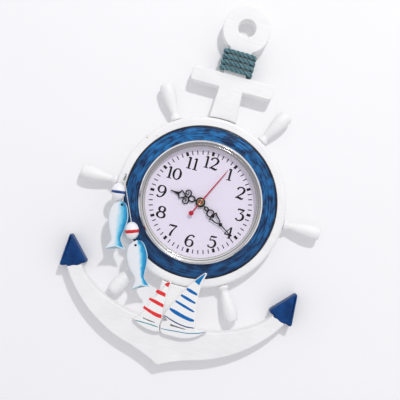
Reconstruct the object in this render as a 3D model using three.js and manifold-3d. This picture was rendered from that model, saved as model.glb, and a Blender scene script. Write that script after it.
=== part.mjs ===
// Marine wall clock: a white wooden anchor that carries a ship's wheel with a quartz clock.
// Millimetres, +Z up, front facing -Y. The back plane is Y = 0, where the wall is, and the
// origin is the point of the keyhole plate that hangs on the wall screw.
// Shapes are drawn in the front view (x to the right, z up) about the dial's centre, and a
// height h is the distance from the wall, so a point of height h has y = -h.

import * as THREE from 'three';
import { mergeVertices } from 'three/addons/utils/BufferGeometryUtils.js';
import Module from 'manifold-3d';

const wasm = await Module();
wasm.setup();

// General clearances
const SEAT_GAP = 0.3;
const SLIP_GAP = 0.1;

// Flat faces round the wheel and round the clock insert
const WHEEL_FACETS = 60;
const INSERT_FACETS = 40;
const HANDLE_FACETS = 12;
const PEG_FACETS = 10;
const HUB_FACETS = 16;
const BORE_FACETS = 14;
const FLOAT_FACETS = 14;

// Boards
const BOARD_THICKNESS = 15;
const BOARD_EDGE = 0.9;

// Ship's wheel, from the bore for the clock insert outwards
const CUP_RADIUS = 51.5;
const BORE_SLACK = 1.4;
const WHEEL_BORE = CUP_RADIUS + BORE_SLACK;
const BAND_WIDTH = 14.9;
const BAND_OUTER = WHEEL_BORE + BAND_WIDTH;
const RIM_WIDTH = 8.3;
const WHEEL_RADIUS = BAND_OUTER + RIM_WIDTH;
const WHEEL_EDGE = 2.4;
const BAND_THICKNESS = 2.4;
const HANDLE_COUNT = 6;
const HANDLE_LENGTH = 34;
const HANDLE_HEIGHT = 8.2;
const HANDLE_BELLY = 6.6;
const TENON_RADIUS = 3;
const TENON_DEPTH = 6.5;
const COLLAR_RADIUS = 4.9;
const HANDLE_WAIST = 3.3;

// Anchor: stem, stock, neck and eye; the stem rises from the wheel's rim
const HANG_LIFT = 23.9;
const DIAL_TO_HANG = WHEEL_RADIUS + HANG_LIFT;
const STEM_HALF_TOP = 10.7;
const STEM_HALF_BOTTOM = 12.3;
const STOCK_HALF = 37.4;
const STEM_LENGTH = 26.9;
const STOCK_BOTTOM = WHEEL_RADIUS + STEM_LENGTH;
const STOCK_HEIGHT = 13.4;
const STOCK_CORNER = 2.4;
const NECK_HALF = 10.2;
const EYE_RISE = 55;
const EYE_CENTRE = STOCK_BOTTOM + EYE_RISE;
const EYE_RADIUS = 21.3;
const EYE_HOLE_RADIUS = 7.75;
const EYE_HOLE_LIFT = 1.3;
const EYE_STEP = 4.5;

// Anchor: lower shank, crown, arms and flukes. The arms follow a circle; a point on them is given
// as [depth inside that circle, angle from +X in degrees].
const SHANK_HALF = 15;
const ARM_DROP = 64.9;
const ARM_OUTER_RADIUS = 117;
const ARM_OUTER_CENTRE = ARM_OUTER_RADIUS - ARM_DROP - WHEEL_RADIUS;
const CROWN_DEPTH = 8.2;
const CROWN_START = 34.3;
const CROWN_BEND = 14.3;
const ARM_INNER_START = [24.3, -67.7];
const ARM_INNER_BENDS = [[17.8, -55.3], [10.1, -41.97]];
const FLUKE_APEX = [10.3, -16.94];
const FLUKE_INNER = [20.15, -31.92];
const FLUKE_OUTER = [-4.55, -30.17];
const FLUKE_CORNER = 1.6;
const ARM_FILLET = 5;
const ARM_DIP = 1.6;
const ARM_END_SHARES = [0.13, 0.74];
const ARM_STEP = 6;

// Dowels between the wheel and the two anchor boards
const DOWEL_RADIUS = 3;
const DOWEL_LENGTH = 22;
const DOWEL_SPREAD = 6.5;

// Rope round the neck
const ROPE_DIAMETER = 4.5;
const ROPE_PITCH = 5;
const ROPE_TURNS = 4;
const ROPE_STEPS = 24;
const ROPE_SIDES = 6;
const ROPE_CORNER = 3.2;
const ROPE_SEAT = 0.6;

// Keyhole plate on the back of the stem
const PLATE_SIZE = [15, 34];
const PLATE_THICKNESS = 1.5;
const KEYHOLE_RADIUS = 4.2;
const KEYHOLE_SLOT_RADIUS = 2.1;
const KEYHOLE_DROP = 5.2;
const POCKET_SIZE = [10.4, 12.4];
const POCKET_DEPTH = 7;
const PLATE_SCREW_RADIUS = 1.3;
const PLATE_SCREW_HEAD = 2.5;
const PLATE_SCREW_LENGTH = 9;
const PLATE_SCREW_INSET = 3.6;
const PLATE_CORNER = 2.5;

// Clock insert
const CUP_WALL = 1;
const CUP_BACK = 0.8;
const CUP_RIM = 16.6;
const CUP_FLOOR = 1.4;
const GASKET = [6, 9];
const BEZEL_OVERHANG = 3.5;
const BEZEL_RADIUS = CUP_RADIUS + BEZEL_OVERHANG;
const BEZEL_TOP = 20;
const BEZEL_LIP = 2.4;
const SPACER_WALL = 0.9;
const DIAL_VIEW_RADIUS = CUP_RADIUS - CUP_WALL - SEAT_GAP - SPACER_WALL;
const DIAL_FRONT = 12;
const DIAL_THICKNESS = 0.6;
const LENS_THICKNESS = 1;
const LENS_BACK = 17.3;

// Hands: their angles are degrees clockwise from twelve
const HOUR_ANGLE = 277;
const MINUTE_ANGLE = 122.7;
const SECOND_ANGLE = 25.5;
const HOUR_LENGTH = 28.1;
const MINUTE_LENGTH = 40.4;
const SECOND_LENGTH = 37.3;
const SECOND_TAIL = 12.2;
const HAND_THICKNESS = 0.35;
const HOUR_HUB = 4.4;
const MINUTE_HUB = 4;
const SECOND_HUB = 1.6;
const COUNTERWEIGHT = 1.9;
const HOUR_HAND_BACK = 13.6;
const MINUTE_HAND_BACK = 14.5;
const SECOND_HAND_BACK = 16.1;
const HAND_NUT_RADIUS = 3.1;
const HAND_NUT_HEIGHT = 0.8;
const FILIGREE_LOOP = 2.3;
const FILIGREE_WIRE = 0.7;
const LEAF_HALF = 2.7;
const STEM_HALF = 0.55;

// Quartz movement
const CASE_SIZE = 44;
const CASE_WALL = 1.1;
const CASE_CORNER = 3;
const COVER_BACK = 0.9;
const COVER_THICKNESS = 1;
const BUSHING_RADIUS = 3;
const DIAL_NUT_RADIUS = 4.6;
const HOUR_PIPE_RADIUS = 1.65;
const HOUR_PIPE_BORE = 1.3;
const CANNON_RADIUS = 1;
const CANNON_BORE = 0.7;
const SECOND_ARBOR_RADIUS = 0.4;
const ARBOR_RADIUS = 0.5;
const CELL_RADIUS = 5.8;
const CELL_THICKNESS = 5.4;
const CELL_GAP = 1.2;
const CONTACT_SHEET = 0.3;
const CONTACT_HALF = [3, 1.5];
const CIRCUIT_OVERLAP = 4;
const CIRCUIT_GAP = 0.9;
const CIRCUIT_SHEET = 0.6;
const KNOB_RADIUS = 4;
const KNOB_SHAFT_RADIUS = 0.8;
const KNOB_THICKNESS = 1;
const MAGNET_RADIUS = 2.2;
const MAGNET_THICKNESS = 2;
const WHEEL_SHEET = 0.4;
const PINION_FACE = 1.1;
const COIL = { length: 11, radius: 2, bore: 1.1 };
const STATOR = { side: 4.7, top: 3.66, limb: 2.7, gap: 1, sheet: 0.7, core: 0.5, tooth: 3.3 };

// Heights of the wheels and of the motor, from the back of the movement to its front
const LEVELS = {
  rotorPinion: 2.6, intermediateWheel: 2.9, intermediatePinion: 3.5, secondWheel: 3.8, secondPinion: 4.5,
  thirdWheel: 4.9, thirdPinion: 5.6, centreWheel: 6, cannonPinion: 6.8, minuteWheel: 7.1, minutePinion: 7.7,
  hourWheel: 8.1, stator: 5, rotorMagnet: 4.2,
};

// Gear train: teeth and modules. Coaxial pairs share one distance between centres.
const FAST_MODULE = 0.36;
const SECOND_MODULE = 0.45;
const CENTRE_MODULE = 0.34;
const MOTION_MODULE = 0.36;
const ROTOR_TEETH = 6;
const INTERMEDIATE_TEETH = 30;
const PINION_TEETH = 6;
const SECOND_TEETH = 36;
const THIRD_TEETH = 45;
const CENTRE_TEETH = 48;
const CANNON_TEETH = 8;
const MINUTE_WHEEL_TEETH = 24;
const MINUTE_PINION_TEETH = 8;
const HOUR_TEETH = 32;
const SET_TEETH = 8;
const THIRD_MODULE = CENTRE_MODULE * (PINION_TEETH + CENTRE_TEETH) / (PINION_TEETH + THIRD_TEETH);
const CANNON_MODULE = MOTION_MODULE * (MINUTE_PINION_TEETH + HOUR_TEETH)
  / (CANNON_TEETH + MINUTE_WHEEL_TEETH);

// The wheels and the cell stand on the case's diagonals, a right angle from one to the next
const FIRST_DIAGONAL = 45;
const TRAIN_ANGLE = {
  motion: FIRST_DIAGONAL, third: FIRST_DIAGONAL + 90, intermediate: FIRST_DIAGONAL + 180,
  cell: FIRST_DIAGONAL + 270,
};

// Pendants: two strings on one screw eye, each with a float and a fish
const EYE_SCREW = [-BAND_OUTER - 1.6, 1.8];
const EYE_SCREW_HEIGHT = 22.3;
const EYE_RING_RADIUS = 2.6;
const EYE_WIRE_RADIUS = 0.6;
const STRING_RADIUS = 0.45;
const STRING_SPREAD = 0.6;
const STRING_LOOP = EYE_WIRE_RADIUS + SEAT_GAP + STRING_RADIUS;
const EYE_SHANK_DEPTH = 6.5;
const STRING_ENTRY = 3.2;
const FLOAT_RADIUS = 6.2;
const FLOAT_HALF_LENGTH = 7.7;
const FLOAT_BORE = 0.95;
const FISH_THICKNESS = 4.5;
const FISH_EDGE = 0.8;
const FISH_STEP = 4;
const PENDANTS = [
  { float: [-71.8, -9.2], floatLean: 14.3, nose: [-68, -17], lean: 8.8, side: 1 },
  { float: [-50.6, -39.4], floatLean: 14.2, nose: [-45.4, -46.4], lean: 19.7, side: -1 },
];

const FISH_BACK = [[4, -1], [6.7, -5], [8.2, -11], [8.4, -16], [7.2, -22], [5, -28.5], [3.9, -33],
  [5.5, -36.8], [8.8, -42]];
const FISH_FORK = [0, -40.2];
const FISH_BELLY = [[-8.2, -43], [-4.8, -36.8], [-4.3, -33.4], [-5.5, -30.2], [-8, -24.4], [-9.6, -17.5],
  [-9.6, -12], [-8.1, -6.3], [-5.2, -2.5], [0, 0]];

// Sailing boats on the crown, in the front view from the point on their waterline under the dial's
// centre. An edge step of four numbers is a curve: its bend, then its end.
const BOAT_THICKNESS = 5.2;
const BOAT_EDGE = 0.4;
const SLIT_WIDTH = 1.2;
const BOAT_STEP = 5;
const WATERLINE_DROP = 44.3;
const BOATS = [
  {
    peak: [-7.3, 46.4],
    edge: [
      [-17.5, 28.4, -24.6, 12], [-25.4, 9.2], [-30, 6.8], [-21, -0.2, -9, 0], [-4.6, 1], [-6.1, 6.8],
      [-5.6, 12.8], [-7.6, 30.4, -5.4, 46.2],
    ],
    boom: [[-21.8, 9.7], [-10.3, 7.9]],
  },
  {
    peak: [21, 61.5],
    edge: [
      [7.5, 47.9, -4.6, 16.6], [-0.6, 12.4], [-4.7, 10.2], [-5.4, 7.2], [-1.5, 0.9, 7.1, 0],
      [25, -1.1, 36.1, 12.9], [28.4, 11], [25.6, 12.2], [17, 40.4, 22.9, 61.2],
    ],
    boom: [[3.1, 10.1], [16.8, 8.5]],
  },
];

const COLOURS = {
  whitePaint: { color: '#f2f2f0', roughness: 0.45, metalness: 0 },
  navyPaint: { color: '#123a6b', roughness: 0.4, metalness: 0 },
  bluePaint: { color: '#155a9a', roughness: 0.3, metalness: 0 },
  rope: { color: '#4f7f8c', roughness: 0.9, metalness: 0 },
  bareWood: { color: '#d8b98a', roughness: 0.7, metalness: 0 },
  steel: { color: '#b9bcc0', roughness: 0.35, metalness: 1 },
  silver: { color: '#d9dade', roughness: 0.18, metalness: 1 },
  brass: { color: '#c9a24a', roughness: 0.3, metalness: 1 },
  blackPlastic: { color: '#1c1d20', roughness: 0.5, metalness: 0 },
  whitePlastic: { color: '#e9e9e4', roughness: 0.4, metalness: 0 },
  rubber: { color: '#2a2a2a', roughness: 0.85, metalness: 0 },
  dial: { color: '#d9d4ea', roughness: 0.6, metalness: 0 },
  glass: { color: '#eef4f6', roughness: 0.05, metalness: 0 },
  blackLacquer: { color: '#101114', roughness: 0.35, metalness: 0 },
  redLacquer: { color: '#d0203a', roughness: 0.35, metalness: 0 },
  copper: { color: '#b46a3c', roughness: 0.35, metalness: 1 },
  board: { color: '#2f6b3c', roughness: 0.5, metalness: 0 },
  twine: { color: '#ece6d8', roughness: 0.9, metalness: 0 },
  fish: { color: '#8fd0ee', roughness: 0.4, metalness: 0 },
};

const materials = Object.fromEntries(
  Object.entries(COLOURS).map(([name, look]) => [name, new THREE.MeshStandardMaterial(look)]),
);

const rad = THREE.MathUtils.degToRad;

// Solids

/** Merges shared vertices, drops empty triangles and turns the faces outwards. */
function closedBody(geometry) {
  const bare = new THREE.BufferGeometry();
  bare.setAttribute('position', geometry.getAttribute('position'));
  if (geometry.index) bare.setIndex(geometry.index);
  const merged = mergeVertices(bare, 1e-4);
  const at = merged.getAttribute('position');
  const corner = (i) => new THREE.Vector3().fromBufferAttribute(at, i);
  const faces = [];
  let volume = 0;
  for (let i = 0; i < merged.index.count; i += 3) {
    const [a, b, c] = [0, 1, 2].map((k) => merged.index.getX(i + k));
    if (a === b || b === c || c === a) continue;
    volume += corner(a).dot(corner(b).cross(corner(c)));
    faces.push([a, b, c]);
  }
  const outward = volume > 0 ? faces : faces.map(([a, b, c]) => [a, c, b]);
  merged.setIndex(outward.flat());
  return merged;
}

function toManifold(geometry) {
  const body = closedBody(geometry);
  const mesh = new wasm.Mesh({
    numProp: 3,
    vertProperties: new Float32Array(body.getAttribute('position').array),
    triVerts: new Uint32Array(body.index.array),
  });
  return new wasm.Manifold(mesh);
}

function fromManifold(solid) {
  const mesh = solid.getMesh();
  const geometry = new THREE.BufferGeometry();
  geometry.setAttribute('position', new THREE.BufferAttribute(mesh.vertProperties, 3));
  geometry.setIndex(Array.from(mesh.triVerts));
  return geometry;
}

function join(...geometries) {
  return fromManifold(geometries.map(toManifold).reduce((whole, next) => whole.add(next)));
}

function cut(geometry, ...tools) {
  const carve = (whole, tool) => whole.subtract(toManifold(tool));
  return fromManifold(tools.reduce(carve, toManifold(geometry)));
}

/** Steps on a curve: about one for each step length, and on an arc one for each 30 degrees or less. */
function stepCount(curve, step) {
  if (curve.isLineCurve) return 1;
  const byLength = Math.max(3, Math.round(curve.getLength() / step));
  if (!curve.isEllipseCurve) return byLength;
  const bend = curve.getLength() / curve.xRadius;
  return Math.max(byLength, Math.ceil(bend / rad(30) - 0.01));
}

/** The points of an outline, where the round stretches take steps of about the given length. */
function facets(path, step) {
  path.closePath();
  const points = path.curves.flatMap((curve) => curve.getPoints(stepCount(curve, step)).slice(0, -1));
  return points.filter((point, i) => point.distanceTo(points[(i + 1) % points.length]) > 1e-4);
}

/** A flat piece: a front-view outline that reaches from height low to height high. */
function plate(outline, low, high, edge = 0, step = 1.5) {
  const shape = new THREE.Shape(facets(outline, step));
  shape.holes = outline.holes.map((opening) => new THREE.Path(facets(opening, step)));
  const geometry = new THREE.ExtrudeGeometry(shape, {
    depth: high - low - 2 * edge,
    bevelEnabled: edge > 0,
    bevelThickness: edge,
    bevelSize: edge,
    bevelOffset: -edge,
    bevelSegments: 1,
  });
  geometry.translate(0, 0, low + edge);
  return geometry.rotateX(Math.PI / 2);
}

/** A round piece turned about the dial's axis, from [radius, height] points. */
function turned(profile, segments = 72) {
  const points = profile.map(([radius, height]) => new THREE.Vector2(radius, height));
  return new THREE.LatheGeometry(points, segments).rotateX(Math.PI);
}

/** A ring or tube about the dial's axis. */
function tube(inner, outer, low, high, segments = 32) {
  return turned([[inner, low], [outer, low], [outer, high], [inner, high], [inner, low]], segments);
}

/** A rod about the dial's axis. */
function rod(radius, low, high, segments = 16) {
  return turned([[0, low], [radius, low], [radius, high], [0, high]], segments);
}

/** A box given by its front-view limits and its heights. */
function block(x0, x1, z0, z1, low, high) {
  const geometry = new THREE.BoxGeometry(x1 - x0, high - low, z1 - z0);
  return geometry.translate((x0 + x1) / 2, -(low + high) / 2, (z0 + z1) / 2);
}

/** A rod in the front plane that starts at a point and runs in a direction of the front view. */
function flatRod(radius, length, start, degrees, height, segments = 16) {
  const geometry = new THREE.CylinderGeometry(radius, radius, length, segments);
  geometry.translate(0, length / 2, 0);
  geometry.rotateX(Math.PI / 2).rotateY(rad(90 - degrees));
  return geometry.translate(start[0], -height, start[1]);
}

/** A tube of a few sides swept along points, with flat ends and frames that do not twist. */
function sweep(points, radius, sides) {
  const last = points.length - 1;
  const tangents = points.map((_, i) => points[Math.min(i + 1, last)].clone()
    .sub(points[Math.max(i - 1, 0)]).normalize());
  const normal = new THREE.Vector3(0, 0, 1);
  const positions = [];
  points.forEach((point, i) => {
    normal.addScaledVector(tangents[i], -normal.dot(tangents[i])).normalize();
    const side = new THREE.Vector3().crossVectors(tangents[i], normal);
    for (let k = 0; k < sides; k += 1) {
      const turn = 2 * Math.PI * k / sides;
      const spot = point.clone().addScaledVector(normal, radius * Math.cos(turn))
        .addScaledVector(side, radius * Math.sin(turn));
      positions.push(...spot.toArray());
    }
  });
  positions.push(...points[0].toArray(), ...points[last].toArray());
  const index = [];
  const tail = points.length * sides;
  for (let k = 0; k < sides; k += 1) {
    const next = (k + 1) % sides;
    for (let i = 0; i < last; i += 1) {
      const [a, b] = [i * sides + k, i * sides + next];
      index.push(a, b, b + sides, a, b + sides, a + sides);
    }
    index.push(tail, next, k, tail + 1, last * sides + k, last * sides + next);
  }
  const geometry = new THREE.BufferGeometry();
  geometry.setAttribute('position', new THREE.Float32BufferAttribute(positions, 3));
  geometry.setIndex(index);
  return geometry;
}

// Outlines

/** A place at a distance and an angle from another. */
function placeAt([x, z], distance, degrees) {
  return [x + distance * Math.cos(rad(degrees)), z + distance * Math.sin(rad(degrees))];
}

/** A closed outline through corners in anticlockwise order, each filleted by the given radius. */
function roundedOutline(corners, radius) {
  const points = corners.map(([x, z]) => new THREE.Vector2(x, z));
  const shape = new THREE.Shape();
  points.forEach((corner, i) => {
    const before = points[(i + points.length - 1) % points.length].clone().sub(corner).normalize();
    const after = points[(i + 1) % points.length].clone().sub(corner).normalize();
    const half = Math.acos(before.dot(after)) / 2;
    const enter = corner.clone().addScaledVector(before, radius / Math.tan(half));
    const leave = corner.clone().addScaledVector(after, radius / Math.tan(half));
    const middle = corner.clone().add(before.add(after).setLength(radius / Math.sin(half)));
    const start = enter.sub(middle).angle();
    const end = leave.sub(middle).angle();
    shape.absarc(middle.x, middle.y, radius, start, end, false);
  });
  shape.closePath();
  return shape;
}

function disc(radius, x = 0, z = 0) {
  const shape = new THREE.Shape();
  shape.absarc(x, z, radius, 0, 2 * Math.PI, false);
  return shape;
}

function hole(radius, x = 0, z = 0) {
  const path = new THREE.Path();
  path.absarc(x, z, radius, 0, 2 * Math.PI, true);
  return path;
}

/** A point on a circle about [0, centre], at the given x, on the lower or the upper side. */
function onCircle(radius, centre, x, side) {
  return [x, centre + side * Math.sqrt(radius * radius - x * x)];
}

/** The angle at which a circle about [0, centre] is met by a point. */
function angleTo(centre, [x, z]) {
  return Math.atan2(z - centre, x);
}

/** Upper anchor board: stem, stock, neck and eye, with the end hollowed to fit the wheel. */
function shankOutline() {
  const seat = WHEEL_RADIUS + SEAT_GAP;
  const foot = onCircle(seat, 0, STEM_HALF_BOTTOM, 1);
  const stockTop = STOCK_BOTTOM + STOCK_HEIGHT;
  const neckTop = onCircle(EYE_RADIUS, EYE_CENTRE, NECK_HALF, -1);
  const shape = new THREE.Shape();
  shape.moveTo(foot[0], foot[1]);
  shape.lineTo(STEM_HALF_TOP, STOCK_BOTTOM);
  for (const side of [1, -1]) {
    const [x, c] = [side * STOCK_HALF, side * STOCK_CORNER];
    const corners = side > 0 ? [STOCK_BOTTOM, stockTop] : [stockTop, STOCK_BOTTOM];
    const step = side * STOCK_CORNER;
    shape.lineTo(x - c, corners[0]);
    shape.quadraticCurveTo(x, corners[0], x, corners[0] + step);
    shape.lineTo(x, corners[1] - step);
    shape.quadraticCurveTo(x, corners[1], x - c, corners[1]);
    if (side > 0) {
      shape.lineTo(NECK_HALF, stockTop);
      shape.lineTo(...neckTop);
      const start = angleTo(EYE_CENTRE, neckTop);
      shape.absarc(0, EYE_CENTRE, EYE_RADIUS, start, Math.PI - start, false);
      shape.lineTo(-NECK_HALF, stockTop);
    }
  }
  shape.lineTo(-STEM_HALF_TOP, STOCK_BOTTOM);
  shape.lineTo(-foot[0], foot[1]);
  const start = angleTo(0, foot);
  shape.absarc(0, 0, seat, Math.PI - start, start, true);
  shape.holes.push(hole(EYE_HOLE_RADIUS, 0, EYE_CENTRE + EYE_HOLE_LIFT));
  return shape;
}

/** A point of the right arm, from its depth inside the arm's circle and its angle. */
function onArm([depth, degrees]) {
  return placeAt([0, ARM_OUTER_CENTRE], ARM_OUTER_RADIUS - depth, degrees);
}

/** The point where the line under a fluke is crossed, at a share of its length. */
function onFlukeBase(share) {
  const [inner, outer] = [FLUKE_INNER, FLUKE_OUTER].map(onArm);
  return [0, 1].map((k) => inner[k] + share * (outer[k] - inner[k]));
}

/** Lower anchor board: shank, crown and both arms, up to the flukes. */
function armOutline() {
  const seat = WHEEL_RADIUS + SEAT_GAP;
  const top = onCircle(seat, 0, SHANK_HALF, -1);
  const [inside, outside] = ARM_END_SHARES.map(onFlukeBase);
  const arm = onCircle(ARM_OUTER_RADIUS, ARM_OUTER_CENTRE, outside[0] - SEAT_GAP, -1);
  const crown = onCircle(ARM_OUTER_RADIUS, ARM_OUTER_CENTRE, CROWN_START, -1);
  const [innerStart, bend, lastBend] = [ARM_INNER_START, ...ARM_INNER_BENDS].map(onArm);
  const flat = innerStart[1] - ARM_DIP;
  const low = -WHEEL_RADIUS - ARM_DROP;
  const shape = new THREE.Shape();
  shape.moveTo(0, low - CROWN_DEPTH);
  shape.quadraticCurveTo(CROWN_BEND, low, ...crown);
  shape.absarc(0, ARM_OUTER_CENTRE, ARM_OUTER_RADIUS,
    angleTo(ARM_OUTER_CENTRE, crown), angleTo(ARM_OUTER_CENTRE, arm), false);
  shape.lineTo(...outside);
  shape.lineTo(...inside);
  shape.bezierCurveTo(...lastBend, ...bend, ...innerStart);
  shape.lineTo(SHANK_HALF + ARM_FILLET, flat);
  shape.quadraticCurveTo(SHANK_HALF, flat, SHANK_HALF, flat + ARM_FILLET);
  shape.lineTo(...top);
  shape.absarc(0, 0, seat, angleTo(0, top), -Math.PI - angleTo(0, top), true);
  shape.lineTo(-SHANK_HALF, flat + ARM_FILLET);
  shape.quadraticCurveTo(-SHANK_HALF, flat, -SHANK_HALF - ARM_FILLET, flat);
  shape.lineTo(-innerStart[0], innerStart[1]);
  shape.bezierCurveTo(-bend[0], bend[1], -lastBend[0], lastBend[1], -inside[0], inside[1]);
  shape.lineTo(-outside[0], outside[1]);
  shape.lineTo(-arm[0], arm[1]);
  shape.absarc(0, ARM_OUTER_CENTRE, ARM_OUTER_RADIUS,
    -Math.PI - angleTo(ARM_OUTER_CENTRE, arm), -Math.PI - angleTo(ARM_OUTER_CENTRE, crown), false);
  shape.quadraticCurveTo(-CROWN_BEND, low, 0, low - CROWN_DEPTH);
  return shape;
}

/** Arrowhead at the end of an arm, clear of the arm's end by the seat gap. */
function flukeOutline(side) {
  const [inner, outer, apex] = [FLUKE_INNER, FLUKE_OUTER, FLUKE_APEX].map(onArm);
  const lift = new THREE.Vector2(inner[1] - outer[1], outer[0] - inner[0]).setLength(SEAT_GAP);
  const corners = [inner, outer].map(([x, z]) => [side * (x + lift.x), z + lift.y]);
  corners.push([side * apex[0], apex[1]]);
  return roundedOutline(side > 0 ? corners : corners.reverse(), FLUKE_CORNER);
}

/** Fish cut from thin board, nose up at [0, 0], with its tail below. */
function fishOutline() {
  const vectors = (list) => list.map(([x, z]) => new THREE.Vector2(x, z));
  const shape = new THREE.Shape();
  shape.moveTo(0, 0);
  shape.splineThru(vectors(FISH_BACK));
  shape.lineTo(...FISH_FORK);
  shape.lineTo(...FISH_BELLY[0]);
  shape.splineThru(vectors(FISH_BELLY.slice(1)));
  return shape;
}

/** A slit between two points, square at its ends. */
function slit(from, to) {
  const run = new THREE.Vector2(to[0] - from[0], to[1] - from[1]);
  const across = new THREE.Vector2(-run.y, run.x).setLength(SLIT_WIDTH / 2);
  const path = new THREE.Path();
  path.moveTo(from[0] + across.x, from[1] + across.y);
  path.lineTo(to[0] + across.x, to[1] + across.y);
  path.lineTo(to[0] - across.x, to[1] - across.y);
  path.lineTo(from[0] - across.x, from[1] - across.y);
  path.closePath();
  return path;
}

/** A boat: hull and sail are one cut-out with a slit along the boom. */
function boatOutline({ peak, edge, boom }) {
  const shape = new THREE.Shape();
  shape.moveTo(...peak);
  for (const step of edge) {
    if (step.length > 2) shape.quadraticCurveTo(...step);
    else shape.lineTo(...step);
  }
  shape.holes.push(slit(...boom));
  return shape;
}

// Wooden pieces

const plateBack = SEAT_GAP;
const plateMiddle = DIAL_TO_HANG - KEYHOLE_DROP / 2;

/** Handle: a turned spindle with its tenon in the wheel's rim, along +X from the dial's centre. */
function handleGeometry() {
  const rim = WHEEL_RADIUS;
  const end = rim + HANDLE_LENGTH;
  const profile = [
    [0, rim - TENON_DEPTH], [TENON_RADIUS, rim - TENON_DEPTH], [TENON_RADIUS, rim + SEAT_GAP],
    [COLLAR_RADIUS * 0.86, rim + SEAT_GAP], [COLLAR_RADIUS, rim + 2], [COLLAR_RADIUS * 0.8, rim + 4],
    [HANDLE_WAIST, rim + 5.4], [HANDLE_WAIST * 1.06, rim + 7.5], [HANDLE_BELLY * 0.71, rim + 12.5],
    [HANDLE_BELLY * 0.91, rim + 19], [HANDLE_BELLY, rim + 25.5],
    [HANDLE_BELLY * 0.93, rim + 29.5], [HANDLE_BELLY * 0.62, end - 1.4], [0, end],
  ];
  const points = profile.map(([radius, reach]) => new THREE.Vector2(radius, reach));
  const geometry = new THREE.LatheGeometry(points, HANDLE_FACETS);
  geometry.rotateZ(-Math.PI / 2);
  return geometry.translate(0, -HANDLE_HEIGHT, 0);
}

const handleAngles = Array.from({ length: HANDLE_COUNT }, (_, i) => i * 360 / HANDLE_COUNT);

function dowelPlaces() {
  const middle = WHEEL_RADIUS + SEAT_GAP / 2;
  const places = [];
  for (const direction of [1, -1]) {
    for (const side of [-1, 1]) {
      const x = side * DOWEL_SPREAD;
      places.push({ x, z: direction * (middle - DOWEL_LENGTH / 2), direction });
    }
  }
  return places;
}

function dowel({ x, z, direction }, slack = 0) {
  const start = [x, z - direction * slack];
  const length = DOWEL_LENGTH + 2 * slack;
  return flatRod(DOWEL_RADIUS + slack, length, start, 90 * direction, BOARD_THICKNESS / 2, PEG_FACETS);
}

/** Wheel: a ring with a rounded front edge, a recess for the band and sockets in its rim. */
function wheelRing() {
  const front = BOARD_THICKNESS;
  const floor = front - BAND_THICKNESS;
  const recess = BAND_OUTER + SEAT_GAP;
  const ring = turned([
    [WHEEL_BORE, 0], [WHEEL_RADIUS, 0], [WHEEL_RADIUS, front - WHEEL_EDGE],
    [WHEEL_RADIUS - WHEEL_EDGE * 0.3, front - WHEEL_EDGE * 0.3], [WHEEL_RADIUS - WHEEL_EDGE, front],
    [recess, front], [recess, floor], [WHEEL_BORE, floor], [WHEEL_BORE, 0],
  ], WHEEL_FACETS);
  const depth = TENON_DEPTH + SEAT_GAP;
  const sockets = handleAngles.map((angle) => {
    const [x, z] = [Math.cos(rad(angle)), Math.sin(rad(angle))].map((v) => v * (WHEEL_RADIUS - depth));
    return flatRod(TENON_RADIUS + SEAT_GAP, depth + 2, [x, z], angle, HANDLE_HEIGHT, HANDLE_FACETS);
  });
  const screwHole = rod(EYE_WIRE_RADIUS + SLIP_GAP, front - EYE_SHANK_DEPTH - 0.5, front + 1, PEG_FACETS);
  screwHole.translate(EYE_SCREW[0], 0, EYE_SCREW[1] + EYE_RING_RADIUS);
  return cut(ring, ...sockets, ...dowelPlaces().map((place) => dowel(place, SEAT_GAP)), screwHole);
}

/** Blue band: a flat inlaid ring with eased edges. */
function wheelBand() {
  const back = BOARD_THICKNESS - BAND_THICKNESS + SEAT_GAP;
  const inner = WHEEL_BORE + SEAT_GAP;
  const ease = 0.4;
  return turned([
    [inner, back], [BAND_OUTER, back], [BAND_OUTER, BOARD_THICKNESS - ease],
    [BAND_OUTER - ease, BOARD_THICKNESS], [inner, BOARD_THICKNESS], [inner, back],
  ], WHEEL_FACETS);
}

const ropeBack = SEAT_GAP + ROPE_DIAMETER + ROPE_SEAT;
const ropeMiddle = (STOCK_BOTTOM + STOCK_HEIGHT + onCircle(EYE_RADIUS, EYE_CENTRE, NECK_HALF, -1)[1]) / 2;

/** Upper board with a rebate behind the neck for the rope, and the seat of the keyhole plate. */
function shankBoard() {
  const board = plate(shankOutline(), 0, BOARD_THICKNESS, BOARD_EDGE, EYE_STEP);
  const reach = ROPE_TURNS * ROPE_PITCH / 2 + ROPE_DIAMETER / 2 + 2 * SEAT_GAP;
  const width = NECK_HALF + ROPE_DIAMETER + 2 * ROPE_SEAT;
  const rebate = block(-width, width, ropeMiddle - reach, ropeMiddle + reach, -1, ropeBack);
  const [halfWidth, halfHeight] = PLATE_SIZE.map((size) => size / 2 + SEAT_GAP);
  const depth = PLATE_THICKNESS + 2 * SEAT_GAP;
  const seat = block(-halfWidth, halfWidth, plateMiddle - halfHeight, plateMiddle + halfHeight, -1, depth);
  const [pocketWidth, pocketHeight] = POCKET_SIZE;
  const pocket = block(-pocketWidth / 2, pocketWidth / 2, plateMiddle - pocketHeight / 2,
    plateMiddle + pocketHeight / 2, -1, POCKET_DEPTH);
  const screws = plateScrewPlaces().map(([x, z]) => {
    return rod(PLATE_SCREW_RADIUS + SLIP_GAP, -1, PLATE_SCREW_LENGTH + 1, PEG_FACETS).translate(x, 0, z);
  });
  const dowels = dowelPlaces().filter(({ direction }) => direction > 0);
  return cut(board, rebate, seat, pocket, ...screws, ...dowels.map((place) => dowel(place, SEAT_GAP)));
}

function armBoard() {
  const board = plate(armOutline(), 0, BOARD_THICKNESS, BOARD_EDGE, ARM_STEP);
  const dowels = dowelPlaces().filter(({ direction }) => direction < 0);
  return cut(board, ...dowels.map((place) => dowel(place, SEAT_GAP)));
}

// Rope winding

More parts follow.
